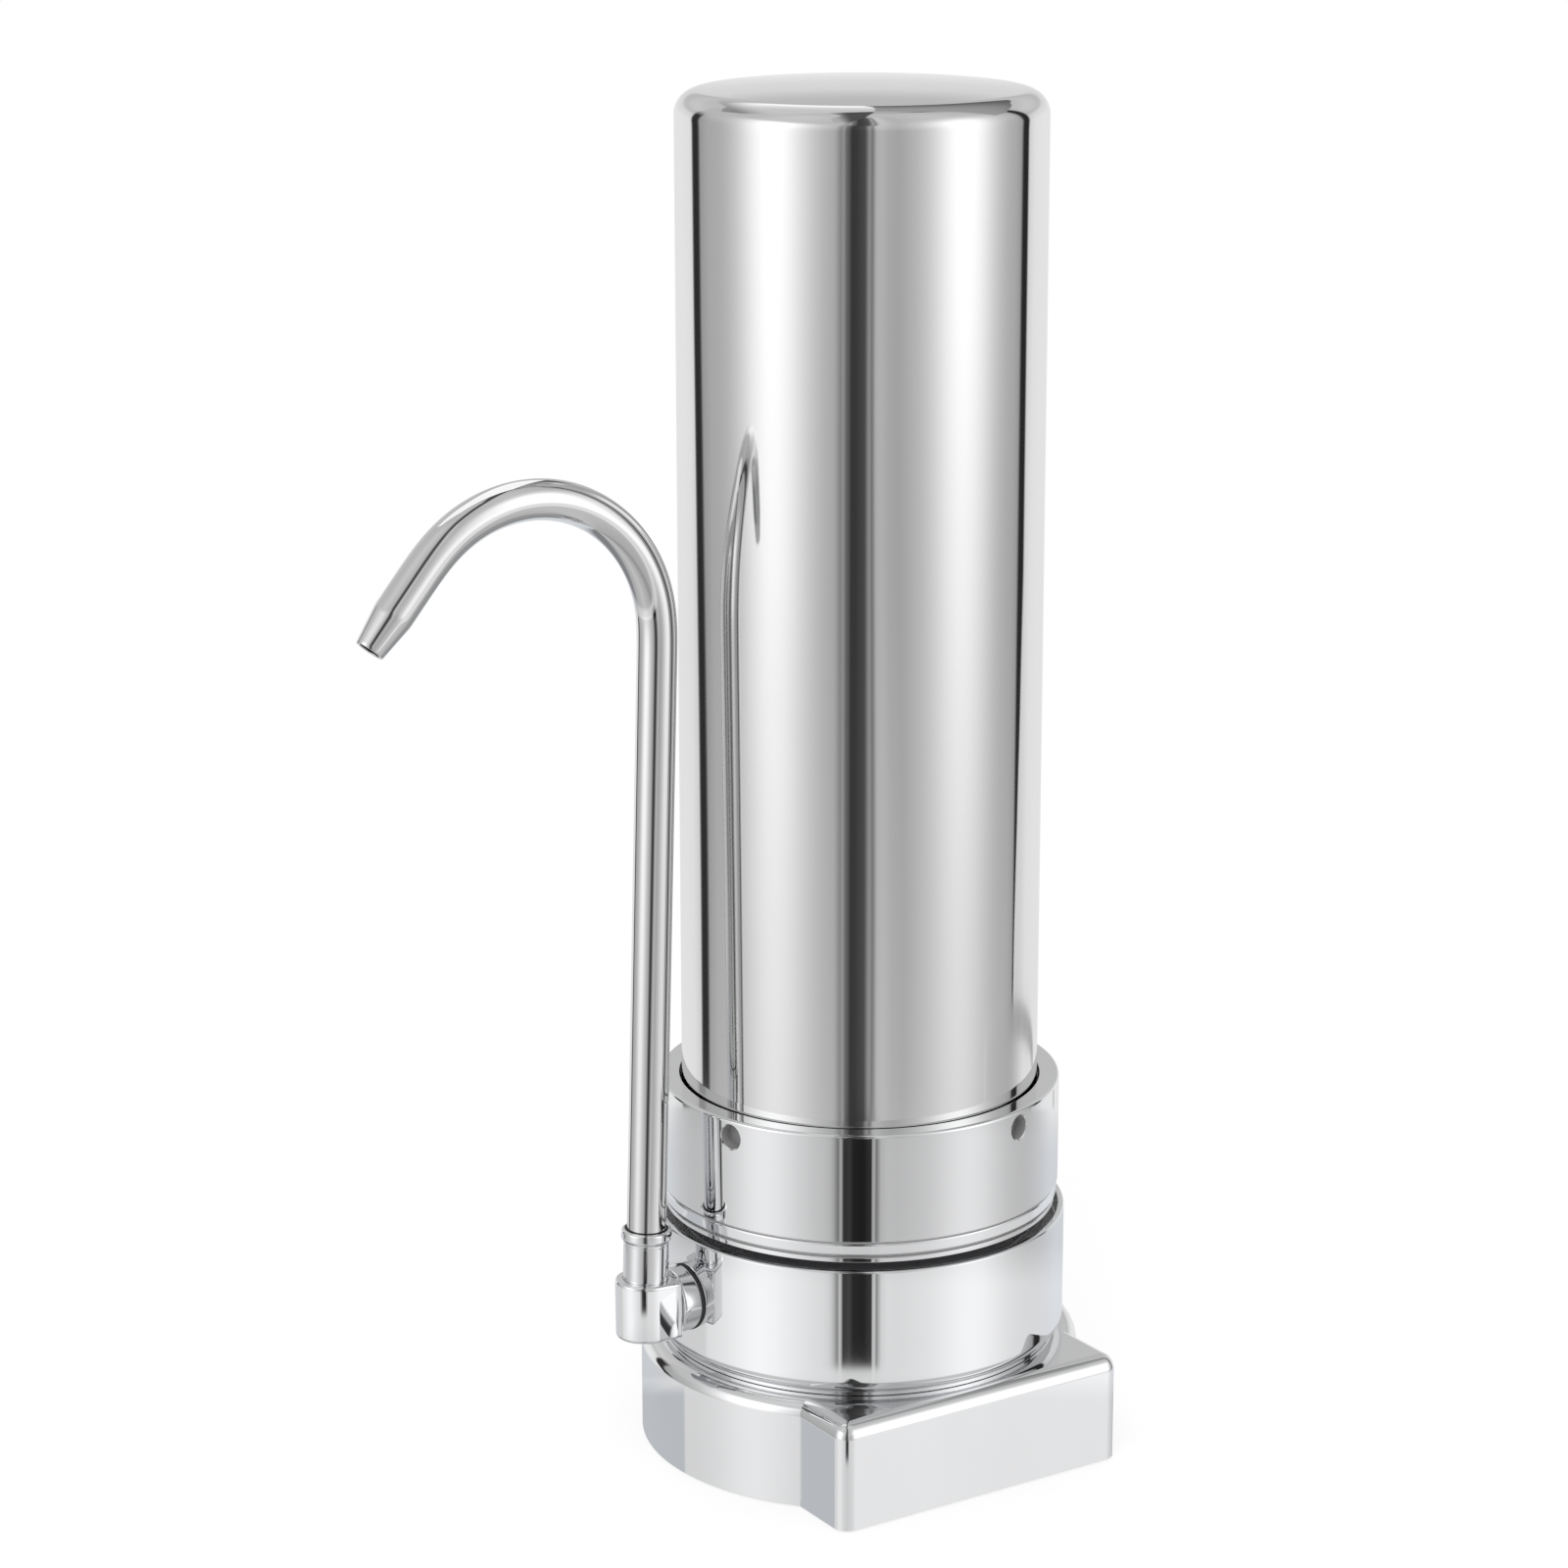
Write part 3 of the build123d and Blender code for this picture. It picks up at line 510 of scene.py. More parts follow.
thread = dict(pitch=3.0, turns=3.6, land=0.8, foot=1.8, sunk=0.3, runOut=9.0)


def buildThread():
    tree, given, out = groupTree(
        "screwThread", "GeometryNodeTree",
        {"Profile": "Geometry", "Radius": "Float", "Turns": "Float", "Pitch": "Float", "Start": "Float",
         "Run Out": "Float", "Finish": "Material"}, {"Thread": "Geometry"})
    spiral = place(tree, "GeometryNodeCurveSpiral", Resolution=160, Rotations=given["Turns"], Reverse=True,
                   Start_Radius=given["Radius"], End_Radius=given["Radius"], Height=given["Turns"] * given["Pitch"])
    upright = place(tree, "GeometryNodeSetCurveNormal", {"mode": "Z_UP"}, Curve=spiral)
    profile = place(tree, "GeometryNodeMeshToCurve", Mesh=given["Profile"])
    run = reading(tree, "GeometryNodeSplineParameter", "Length")
    left = reading(tree, "GeometryNodeCurveLength", 0, Curve=upright) - run
    thin = run.calc("MINIMUM", run, left).span(0.0, given["Run Out"], 0.1, 1.0)
    swept = place(tree, "GeometryNodeCurveToMesh", Curve=upright, Profile_Curve=profile, Scale=thin, Fill_Caps=True)
    lift = place(tree, "ShaderNodeCombineXYZ", Z=given["Start"])
    raised = place(tree, "GeometryNodeTransform", Geometry=swept, Translation=lift)
    return dressed(tree, raised, given["Finish"], out["Thread"])


threadTree = buildThread()


def threadMesh(root, crest, start, slot):
    sunk = root - math.copysign(thread["sunk"], crest - root)
    foot, land = thread["foot"] / 2, thread["land"] / 2
    line = [(sunk, foot, 0), (root, foot, 0), (crest, land, 0.15), (crest, -land, 0.15), (root, -foot, 0),
            (sunk, -foot, 0)]
    return tidyMesh(grown(profileMesh(rounded(line, 3), root * mm), threadTree, Radius=root * mm,
                          Turns=thread["turns"], Pitch=thread["pitch"] * mm, Start=start * mm,
                          Run_Out=thread["runOut"] * mm, Finish=finishes[slot]))


# locking collar; a groove is its low and high edge and the wall outside it

# the last entry is the share of painted shade in the grooves
collar = dict(low=64.5, high=98.4, radius=51.75, crest=48.85, bore=49.55, lipBore=46.6, lipLow=89.5, threadStart=68.6,
              holeRadius=3.1, holeDepth=3.6, holeDrop=4.6, holeCount=4, holeTurn=17.5, holeChamfer=0.35,
              grooves=((65.7, 66.4, 50.95), (69.6, 70.25, 51.3)), grooveFloor=50.2, grooveShade=0.6)
collarLine = [
    (collar["crest"], collar["low"], 0.2), (51.0, collar["low"], 0.2), (51.0, 65.8, 0.2),
    (50.4, 65.8, 0.08), (50.4, 66.3, 0.08), (51.35, 66.3, 0.6), (51.5, 69.7, 0.5), (51.1, 69.7, 0.1),
    (51.1, 70.2, 0.1), (collar["radius"], 70.2, 0.2), (collar["radius"], collar["high"], 0.8),
    (collar["lipBore"], collar["high"], 0.4), (collar["lipBore"], collar["lipLow"], 0.2),
    (collar["bore"], collar["lipLow"], 0.2), (collar["bore"], 66.9, 0.2), (collar["crest"], 66.9, 0.2),
]
holeLevel = collar["high"] - collar["holeDrop"]


def buildSpannerHoles():
    tree, given, out = groupTree(
        "spannerHoles", "GeometryNodeTree",
        {"Collar": "Geometry", "Count": "Int", "Turn": "Float", "Level": "Float", "Wall Radius": "Float",
         "Hole Radius": "Float", "Hole Depth": "Float", "Chamfer": "Float", "Finish": "Material"},
        {"Drilled": "Geometry"})
    hole, chamfer = given["Hole Radius"], given["Chamfer"]
    ring = place(tree, "GeometryNodeMeshCircle", Vertices=given["Count"], Radius=given["Wall Radius"])
    facing = place(tree, "FunctionNodeAlignRotationToVector", Vector=tree.nodes.new("GeometryNodeInputPosition"))
    drill = place(tree, "GeometryNodeMeshCylinder", Vertices=64, Radius=hole, Depth=given["Hole Depth"] * 2.0)
    sink = place(tree, "GeometryNodeMeshCone", Vertices=64, Radius_Top=hole + chamfer + chamfer, Radius_Bottom=hole,
                 Depth=chamfer * 2.0)
    sinkDrop = place(tree, "ShaderNodeCombineXYZ", Z=chamfer * -1.0)
    sunk = place(tree, "GeometryNodeTransform", Geometry=sink, Translation=sinkDrop)
    spin = place(tree, "ShaderNodeCombineXYZ", Z=given["Turn"])
    lift = place(tree, "ShaderNodeCombineXYZ", Z=given["Level"])
    bored = given["Collar"]
    for tool in (drill, sunk):
        dotted = place(tree, "GeometryNodeInstanceOnPoints", Points=ring, Instance=tool, Rotation=facing)
        real = place(tree, "GeometryNodeRealizeInstances", Geometry=dotted)
        drills = place(tree, "GeometryNodeTransform", Geometry=real, Translation=lift, Rotation=spin)
        bored = place(tree, "GeometryNodeMeshBoolean", {"operation": "DIFFERENCE", "solver": "EXACT"}, Mesh_1=bored,
                      Mesh_2=drills)
    return dressed(tree, bored, given["Finish"], out["Drilled"])


def markPaintedShade(made, share):
    # marks each face with share(reach, level, face), its share of painted shade
    mask = made.attributes.new("dull", "FLOAT", "FACE")
    for face in made.polygons:
        spot = face.center / mm
        mask.data[face.index].value = share(math.hypot(spot.x, spot.y), spot.z, spot)


def collarShade(reach, level, spot):
    # painted shade: full in the spanner holes, part of it in the grooves
    turn = math.degrees(math.atan2(spot.y, spot.x)) - collar["holeTurn"]
    step = 360 / collar["holeCount"]
    off = math.radians(turn - step * round(turn / step))
    aside = math.hypot(reach * math.sin(off), level - holeLevel)
    if aside < collar["holeRadius"] + 0.02 and reach * math.cos(off) < collar["radius"] - 0.3:
        return 1.0
    inGroove = any(low < level < high and collar["grooveFloor"] < reach < wall
                   for low, high, wall in collar["grooves"])
    return collar["grooveShade"] if inGroove else 0.0


drilled = grown(turned(rounded(collarLine), "chrome_plate", 240), buildSpannerHoles(), Count=collar["holeCount"],
                Turn=math.radians(collar["holeTurn"]), Level=holeLevel * mm, Wall_Radius=collar["radius"] * mm,
                Hole_Radius=collar["holeRadius"] * mm, Hole_Depth=collar["holeDepth"] * mm,
                Chamfer=collar["holeChamfer"] * mm, Finish=finishes["chrome_plate"])
collarMesh = together(drilled, threadMesh(collar["bore"], collar["crest"], collar["threadStart"], "chrome_plate"))
markPaintedShade(collarMesh, collarShade)
roundNormals(collarMesh, wallNormals(collar["radius"]))
finished("lockingCollar", collarMesh, "collar", "chrome_plate", "locking_collar")
print("collar drilled and threaded")


# head: the cup under the collar, its threaded neck and the chamber floor

# the last entry is the share of painted shade on the channel's outer part
head = dict(radius=53.5, low=28.85, rim=63.0, neck=47.8, neckTop=85.3, crest=48.5, threadStart=70.8, chamber=42.5,
            floor=66.1, socket=8.3, socketLow=43.275, port=46.875, portBore=6.05, portDepth=8.0, riser=3.2,
            riserAt=38.25, plinth=51.1, plinthTop=29.85, tuck=31.24, edge=3.7,
            channel=(47.0, 51.2, 51.9), channelLevel=(57.5, 67.0), rimShade=0.45)
baseSeal = dict(bore=45.5, radius=48.3, low=28.75, high=30.75, edge=0.1)
housingRing = dict(bore=44.4, radius=46.8, low=83.25, high=85.3, edge=0.8)
headLine = [
    (0, 37.875, 0), (13.7, 37.875, 0.5), (13.7, 61.1, 0.5), (42.5, 61.1, 0.5), (42.5, 54.0, 0.5), (48.5, 54.0, 0.5),
    (48.5, head["low"], 0.15), (head["plinth"], head["low"], 0.15), (head["plinth"], head["plinthTop"], 0.1),
    (head["radius"], head["tuck"], head["edge"]), (head["radius"], head["rim"], 0.6),
    (51.7, head["rim"], 0.5), (51.7, 58.0, 0.6), (head["neck"], 58.0, 0.6), (head["neck"], head["neckTop"], 0.5),
    (46.85, head["neckTop"], 0.15), (46.85, 83.2, 0.8), (44.35, 83.2, 0.8), (44.35, head["neckTop"], 0.15),
    (head["chamber"], head["neckTop"], 0.4), (head["chamber"], head["floor"], 0.8),
    (head["socket"], head["floor"], 0.5), (head["socket"], head["socketLow"], 0.4), (0, head["socketLow"], 0),
]
leftPort = along((-1, 0, 0), (0, 0, head["port"]))
rearPort = along((0, 1, 0), (0, 0, head["port"]))


def peg(radius, low, high, turn=None, segments=64):
    line = [Vector(corner) for corner in ((0, low), (radius, low), (radius, high), (0, high))]
    return turned(line, "chrome_plate", segments, closed=False, turn=turn)


def headShade(reach, level, spot):
    # painted shade on the neck's foot and, in part, on the channel round it, below the collar
    near, wall, far = head["channel"]
    low, high = head["channelLevel"]
    if not (low < level < high and near < reach < far):
        return 0.0
    return 1.0 if reach < wall else head["rimShade"]


headBlank = turned(rounded(headLine, closed=False), "chrome_plate", 240, closed=False)
portStart, portEnd = head["radius"] - head["portDepth"], head["radius"] + 2
headCuts = [peg(head["portBore"], portStart, portEnd, port) for port in (leftPort, rearPort)]
headCuts.append(peg(head["riser"], head["port"], head["floor"] + 1, along((0, 0, 1), (0, head["riserAt"], 0))))
headMesh = together(cut(headBlank, headCuts),
                    threadMesh(head["neck"], head["crest"], head["threadStart"], "chrome_plate"))
markPaintedShade(headMesh, headShade)
roundNormals(headMesh, wallNormals(head["radius"]))
finished("headCup", headMesh, "base", "chrome_plate", "head")
turnedPiece("baseSeal", ringLine(**baseSeal), "base", "black_rubber", "base_seal")
turnedPiece("housingRing", ringLine(**housingRing), "base", "black_rubber", "housing_o_ring")
print("head turned")


# foot: a round and a square block, each rounded by itself, then joined

foot = dict(radius=57.2, width=86.0, low=0.5, high=28.75, edge=4.0, wall=2.5, roof=3.0, back=0.0)


def quarter(steps, side=-1):
    angles = [math.pi / 2 * step / steps for step in range(steps + 1)]
    return angles if side < 0 else angles[::-1]


def skinned(rings):
    # closed skin over a stack of equal rings of points (mm)
    work = bmesh.new()
    rows = [[work.verts.new((x * mm, y * mm, z * mm)) for x, y, z in ring] for ring in rings]
    for below, above in zip(rows, rows[1:]):
        for i in range(len(below)):
            j = (i + 1) % len(below)
            work.faces.new((below[i], below[j], above[j], above[i]))
    work.faces.new(rows[0][::-1])
    work.faces.new(rows[-1])
    made = meshOf(work)
    made.materials.append(finishes["chrome_plate"])
    return tidyMesh(made)


def roundedBlock(half, front, back, low, high, edge, steps=10, lead=0.3):
    # plan with rounded front corners, stacked in layers up to the rounded top edge
    layers = [(low, 0.0), (low + lead, 0.0), (high - edge - lead, 0.0)]
    layers += [(high - edge + edge * math.sin(a), edge - edge * math.cos(a)) for a in quarter(steps)]
    rings = []
    for z, inset in layers:
        ring = [(-half + inset, back, z)]
        for side in (-1, 1):
            ring += [(side * (half - edge + (edge - inset) * math.cos(a)),
                      front + edge - (edge - inset) * math.sin(a), z) for a in quarter(steps, side)]
        rings.append(ring + [(half - inset, back, z)])
    return skinned(rings)


def boxMesh(low, high):
    work = bmesh.new()
    bmesh.ops.create_cube(work, size=1.0)
    size = Vector(high) - Vector(low)
    bmesh.ops.scale(work, vec=size * mm, verts=work.verts)
    bmesh.ops.translate(work, vec=(Vector(low) + size / 2) * mm, verts=work.verts)
    return meshOf(work)


def footNormals(face, point):
    # the true surface of whichever of the two shapes the face belongs to
    edge, top, radius, half = (foot[name] * mm for name in ("edge", "high", "radius", "width"))
    half, near = half / 2, 0.06 * mm
    spot = face.center
    if face.normal.z < -0.5 or spot.z > top - 0.02 * mm:
        return None
    outward = Vector((spot.x, spot.y, 0))
    onRound = outward.length > radius - edge - near and face.normal.dot(outward.normalized()) > -0.1
    onBlock = spot.y < 0 and (abs(spot.x) > half - edge - near or spot.y < edge - radius)
    core = Vector((max(edge - half, min(half - edge, point.x)), max(edge - radius, point.y), min(top - edge, point.z)))
    blockWay = point - core
    flat = Vector((point.x, point.y, 0))
    ringWay = flat.normalized() * max(0, flat.length - (radius - edge)) + Vector((0, 0, max(0, point.z - (top - edge))))
    tries = [way.normalized() for belongs, way in ((onRound, ringWay), (onBlock, blockWay))
             if belongs and abs(way.length - edge) < near]
    best = max(tries, key=lambda way: way.dot(face.normal), default=None)
    return best if best and best.dot(face.normal) > 0.9 else None


footLine = [(0, foot["low"], 0), (foot["radius"], foot["low"], 0.2), (foot["radius"], foot["high"], foot["edge"]),
            (0, foot["high"], 0)]
footRound = turned(rounded(footLine, 10, closed=False), "chrome_plate", 288, closed=False)
half, under, roof = foot["width"] / 2, foot["low"] - 1, foot["high"] - foot["roof"]
footBlock = roundedBlock(half, -foot["radius"], foot["back"], foot["low"], foot["high"], foot["edge"])
footMesh = smoothed(cut(cut(footRound, [footBlock], "UNION"), [
    peg(foot["radius"] - foot["wall"], under, roof, segments=128),
    boxMesh((-half + foot["wall"], -foot["radius"] + foot["wall"], under), (half - foot["wall"], 0, roof)),
]))
roundNormals(footMesh, footNormals)
finished("foot", footMesh, "base", "chrome_plate", "base_foot")
print("foot joined")


# elbow, its stud, gasket and swivel collar

elbow = dict(axis=65.4, face=58.5, radius=7.6, height=15.3, edge=0.8, lean=math.radians(1.83), draft=0.0065)
stud = dict(root=6.0, flangeLow=55.0, flangeHigh=58.5, gasket=0.45)
gasket = dict(bore=6.05, radius=8.6, thick=1.5, edge=0.25, outerEdge=0.4)
inlet = dict(flats=17.0, hexLow=55.0, hexHigh=61.0, hexChamfer=1.1, radius=7.2, high=73.0)
swivelBush = dict(bore=5.06, radius=5.65, low=18.95, high=20.65, edge=0.1, topEdge=0.2)
swivel = along((math.sin(elbow["lean"]), 0, math.cos(elbow["lean"])), (-elbow["axis"], 0, head["port"]))


def elbowMesh(steps=40, edgeSteps=6, lead=0.2):
    half, edge = elbow["height"] / 2, elbow["edge"]
    layers = [(-half + edge - edge * math.cos(a), edge - edge * math.sin(a)) for a in quarter(edgeSteps)]
    layers += [(-half + edge + lead, 0.0), (half - edge - lead, 0.0)]
    layers += [(half - edge + edge * math.sin(a), edge - edge * math.cos(a)) for a in quarter(edgeSteps)]
    rings = []
    for z, inset in layers:
        radius, face = elbow["radius"] - inset - (half - z) * elbow["draft"], elbow["face"] + inset
        corner = max(edge - inset, 0.02)
        turns = [math.pi / 2 + math.pi * step / steps for step in range(steps + 1)]  # half round outside
        ring = [(-elbow["axis"] + radius * math.cos(a), radius * math.sin(a)) for a in turns]
        for side in (-1, 1):  # corners at the flat face
            ring += [(-face - corner + corner * math.sin(a), side * (radius - corner + corner * math.cos(a)))
                     for a in quarter(edgeSteps, side)]
        tilt = math.tan(elbow["lean"]) if z > 0 else 0
        rings.append([(x, y, head["port"] + z - (x + elbow["axis"]) * tilt) for x, y in ring])
    return skinned(rings)


def cupWall(side):
    return math.sqrt((head["radius"] + 0.05)**2 - (side / mm)**2)


def saddle(name, turn, across, node, thick=None):
    # gasket ring whose inner face follows the cup's wall, and its outer one too where thick is given
    line = ringLine(gasket["bore"], gasket["radius"], 0.0, gasket["thick"], gasket["edge"])
    line[2] = (gasket["radius"], gasket["thick"], gasket["outerEdge"])
    made = turned(rounded(line), "black_rubber", 128)
    for vertex in made.vertices:
        wall = cupWall(vertex.co.x if across == "x" else vertex.co.y)
        far = wall + thick if thick else inlet["hexLow"]
        vertex.co.z = (wall + (far - wall) * vertex.co.z / mm / gasket["thick"]) * mm
    made.transform(turn)
    finished(name, tidyMesh(made), "base", "black_rubber", node)


def studMesh():
    root, low, high = stud["root"], stud["flangeLow"], stud["flangeHigh"]
    line = [(3.6, 45.5, 0.2), (root, 45.5, 0.3), (root, low, 0), (8.5, low, 0.4), (8.5, high, 0.5), (root, high, 0),
            (root, 63.5, 0.3), (3.6, 63.5, 0.2)]
    made = turned(rounded(line), "chrome_plate", 128)
    for vertex in made.vertices:
        if math.hypot(vertex.co.x, vertex.co.y) > (root + 0.01) * mm:  # the flange, down to the gasket
            share = (vertex.co.z / mm - low) / (high - low)
            near = cupWall(vertex.co.y) + stud["gasket"]
            vertex.co.z = (near + (high - near) * share) * mm
    made.transform(leftPort)
    return tidyMesh(made)


elbowBores = [peg(5.9, 6.4, 9.5, swivel), peg(3.6, -1.0, 7.0, swivel), peg(6.05, 57.5, 63.5, leftPort)]
swivelLine = [(5.05, 6.4, 0.1), (5.8, 6.4, 0.2), (5.8, 17.0, 0.08), (5.66, 17.15, 0.05), (5.8, 17.3, 0.08),
              (5.8, 18.0, 0.6), (6.45, 18.6, 0.9), (6.45, 21.05, 0.7), (5.7, 21.05, 0.04), (5.7, 18.95, 0.1),
              (5.05, 18.95, 0.1)]
finished("elbow", tidyMesh(cut(elbowMesh(), elbowBores)), "base", "chrome_plate", "elbow_body")
finished("elbowStud", studMesh(), "base", "chrome_plate", "elbow_stud")
saddle("elbowGasket", leftPort, "y", "elbow_gasket", stud["gasket"])
saddle("inletWasher", rearPort, "x", "inlet_washer")
turnedPiece("swivelCollar", swivelLine, "base", "chrome_plate", "swivel_collar", 128, swivel)
turnedPiece("swivelBush", ringLine(**swivelBush), "base", "black_plastic", "swivel_bush", 128, swivel)
print("elbow built")


# spout: a straight tube, one bend, a short tail and a tapered nozzle

spout = dict(radius=5.0, wall=0.9, low=16.9, rise=175.3, bend=35.7, angle=math.radians(141.7), tail=14.7, taper=9.9,
             tip=3.7, spacing=0.8, easing=40, rim=0.18)


def buildSpout():
    tree, given, out = groupTree(
        "bentTube", "GeometryNodeTree",
        {"Route": "Geometry", "Bend Radius": "Float", "Spacing": "Float", "Tube Radius": "Float", "Easing": "Int",
         "Tip Share": "Float", "Taper": "Float", "Finish": "Material"}, {"Tube": "Geometry"})
    route = place(tree, "GeometryNodeMeshToCurve", Mesh=given["Route"])
    bent = place(tree, "GeometryNodeFilletCurve", {"mode": "POLY"}, Curve=route, Count=160, Radius=given["Bend Radius"])
    even = place(tree, "GeometryNodeResampleCurve", {"mode": "LENGTH"}, Curve=bent, Length=given["Spacing"])
    ends = reading(tree, "GeometryNodeCurveEndpointSelection", 0)
    blur = place(tree, "GeometryNodeBlurAttribute", {"data_type": "FLOAT_VECTOR"}, Iterations=given["Easing"],
                 Weight=1.0 - ends)
    feed(tree, next(s for s in blur.inputs if s.name == "Value" and s.enabled),
         tree.nodes.new("GeometryNodeInputPosition"))
    eased = place(tree, "GeometryNodeSetPosition", Geometry=even, Position=next(s for s in blur.outputs if s.enabled))
    whole = reading(tree, "GeometryNodeCurveLength", 0, Curve=eased)
    run = reading(tree, "GeometryNodeSplineParameter", "Length")
    share = run.span(whole - given["Taper"], whole, 1.0, given["Tip Share"], "LINEAR")
    circle = place(tree, "GeometryNodeCurvePrimitiveCircle", Resolution=72, Radius=given["Tube Radius"])
    swept = place(tree, "GeometryNodeCurveToMesh", Curve=eased, Profile_Curve=circle, Scale=share)
    return dressed(tree, swept, given["Finish"], out["Tube"])


def spoutMesh():
    reach = spout["bend"] * math.tan(spout["angle"] / 2)
    tailWay = Vector((math.sin(spout["angle"]), math.cos(spout["angle"])))
    corner = Vector((0, spout["rise"] + reach))
    end = corner + tailWay * (reach + spout["tail"] + spout["taper"])
    route = meshFrom([(-p.x * mm, 0, p.y * mm) for p in (Vector((0, spout["low"])), corner, end)], [(0, 1), (1, 2)])
    tube = grown(route, buildSpout(), Bend_Radius=spout["bend"] * mm, Spacing=spout["spacing"] * mm,
                 Tube_Radius=spout["radius"] * mm, Easing=spout["easing"], Tip_Share=spout["tip"] / spout["radius"],
                 Taper=spout["taper"] * mm, Finish=finishes["tube_steel"])
    carrier = linked("spoutWall", tube)
    wall = carrier.modifiers.new("wall", "SOLIDIFY")
    wall.thickness, wall.offset = spout["wall"] * mm, -1.0
    rim = carrier.modifiers.new("rim", "BEVEL")
    rim.width, rim.segments, rim.limit_method, rim.angle_limit = spout["rim"] * mm, 3, "ANGLE", math.radians(60)
    made = applied(carrier)
    made.transform(swivel)
    return tidyMesh(made)


finished("spout", spoutMesh(), "spout", "chrome_plate", "spout_tube")
print("spout bent")


# inlet push fitting behind the head

def hexNut():
    low, high, chamfer = inlet["hexLow"], inlet["hexHigh"], inlet["hexChamfer"]
    corner = inlet["flats"] / 2 / math.cos(math.pi / 6)
    top, out, inn = chamfer * 0.6, corner + 0.1, corner - chamfer
    blank = [(0, low), (inn, low), (out, low + top), (out, high - top), (inn, high), (0, high)]
    chamfered = turned([Vector(point) for point in blank], "chrome_plate", 96, closed=False)
    return cut(peg(corner, low, high, segments=6), [chamfered], "INTERSECT")


fittingLine = [(0, 45.5, 0), (6.0, 45.5, 0.4), (6.0, 60.0, 0), (inlet["radius"] - 0.5, 60.0, 0),
               (inlet["radius"] - 0.5, 62.0, 0.2), (inlet["radius"], 62.0, 0.3), (inlet["radius"], inlet["high"], 0.9),
               (5.05, inlet["high"], 0.3), (5.05, 62.0, 0.2), (3.25, 62.0, 0.2), (3.25, 56.0, 0.2), (0, 56.0, 0)]
colletLine = [(3.3, 65.8, 0.2), (5.0, 65.8, 0.3), (5.0, 74.8, 0.1), (6.2, 74.8, 0.4), (6.2, 76.4, 0.6),
              (3.3, 76.4, 0.6)]
fittingBody = turned(rounded(fittingLine, closed=False), "chrome_plate", 128, closed=False)
fittingMesh = together(tidyMesh(hexNut()), fittingBody)
fittingMesh.transform(rearPort)
finished("inletFitting", fittingMesh, "base", "chrome_plate", "inlet_fitting")
turnedPiece("inletCollet", colletLine, "collet", "white_plastic", "inlet_collet", 128, rearPort)
print("inlet built")


# candle: plastic mount, its O-rings and the ceramic shell

candle = dict(radius=32.0, wall=7.0, low=70.1, top=316.1, rise=12.0, corner=12.0, flat=18.0, boreFlat=16.0)
nozzle = dict(radius=8.0, groove=6.15, grooveHalf=0.95, levels=(56.6, 61.6))
nozzleRing = dict(bore=6.2, radius=8.25, half=0.9, edge=0.7)
mountLine = [(3.5, 52.1, 0.3), (nozzle["radius"], 52.1, 0.9)]
for level in nozzle["levels"]:
    low, high = level - nozzle["grooveHalf"], level + nozzle["grooveHalf"]
    mountLine += [(nozzle["radius"], low, 0.1), (nozzle["groove"], low, 0.2), (nozzle["groove"], high, 0.2),
                  (nozzle["radius"], high, 0.1)]
mountLine += [(nozzle["radius"], 66.1, 0.3), (34.0, 66.1, 1.2), (34.0, 80.1, 0.9), (32.05, 80.1, 0.4),
              (32.05, 70.1, 0.3), (3.5, 70.1, 0.3)]
turnedPiece("candleMount", mountLine, "candle", "white_plastic", "candle_mount")
rings = [ringLine(nozzleRing["bore"], nozzleRing["radius"], level - nozzleRing["half"], level + nozzleRing["half"],
                  nozzleRing["edge"]) for level in nozzle["levels"]]
ringMesh = together(*[turned(rounded(line), "black_rubber", 128) for line in rings])
finished("candleRings", ringMesh, "candle", "black_rubber", "candle_o_rings")

bore = candle["radius"] - candle["wall"]
candleCrown, candleShoulder = dome(candle["radius"], candle["top"], candle["rise"], candle["flat"], 12)
candleCeiling, boreShoulder = dome(bore, candle["top"] - candle["wall"], candle["rise"], candle["boreFlat"], 12)
candleLine = candleCeiling + [
    (*boreShoulder, candle["corner"] / 2), (bore, candle["low"], 0.5), (candle["radius"], candle["low"], 0.5),
    (*candleShoulder, candle["corner"]),
] + candleCrown[::-1]
candleMesh = turned(rounded(candleLine, 12, closed=False), "ceramic", closed=False)
finished("ceramicShell", candleMesh, "candle", "ceramic", "ceramic_shell")
print("candle built")


# nodes that stay as they are get their finish

for row in frame["record"]["subparts"]:
    node = frame["nodes"][row["node"]]
    if not node.hide_render:
        for held in node.material_slots:
            held.link = "OBJECT"
            held.material = finishes[row["material_slot"]]


# studio: two lit panels with a dark gap between them and a pale surround behind

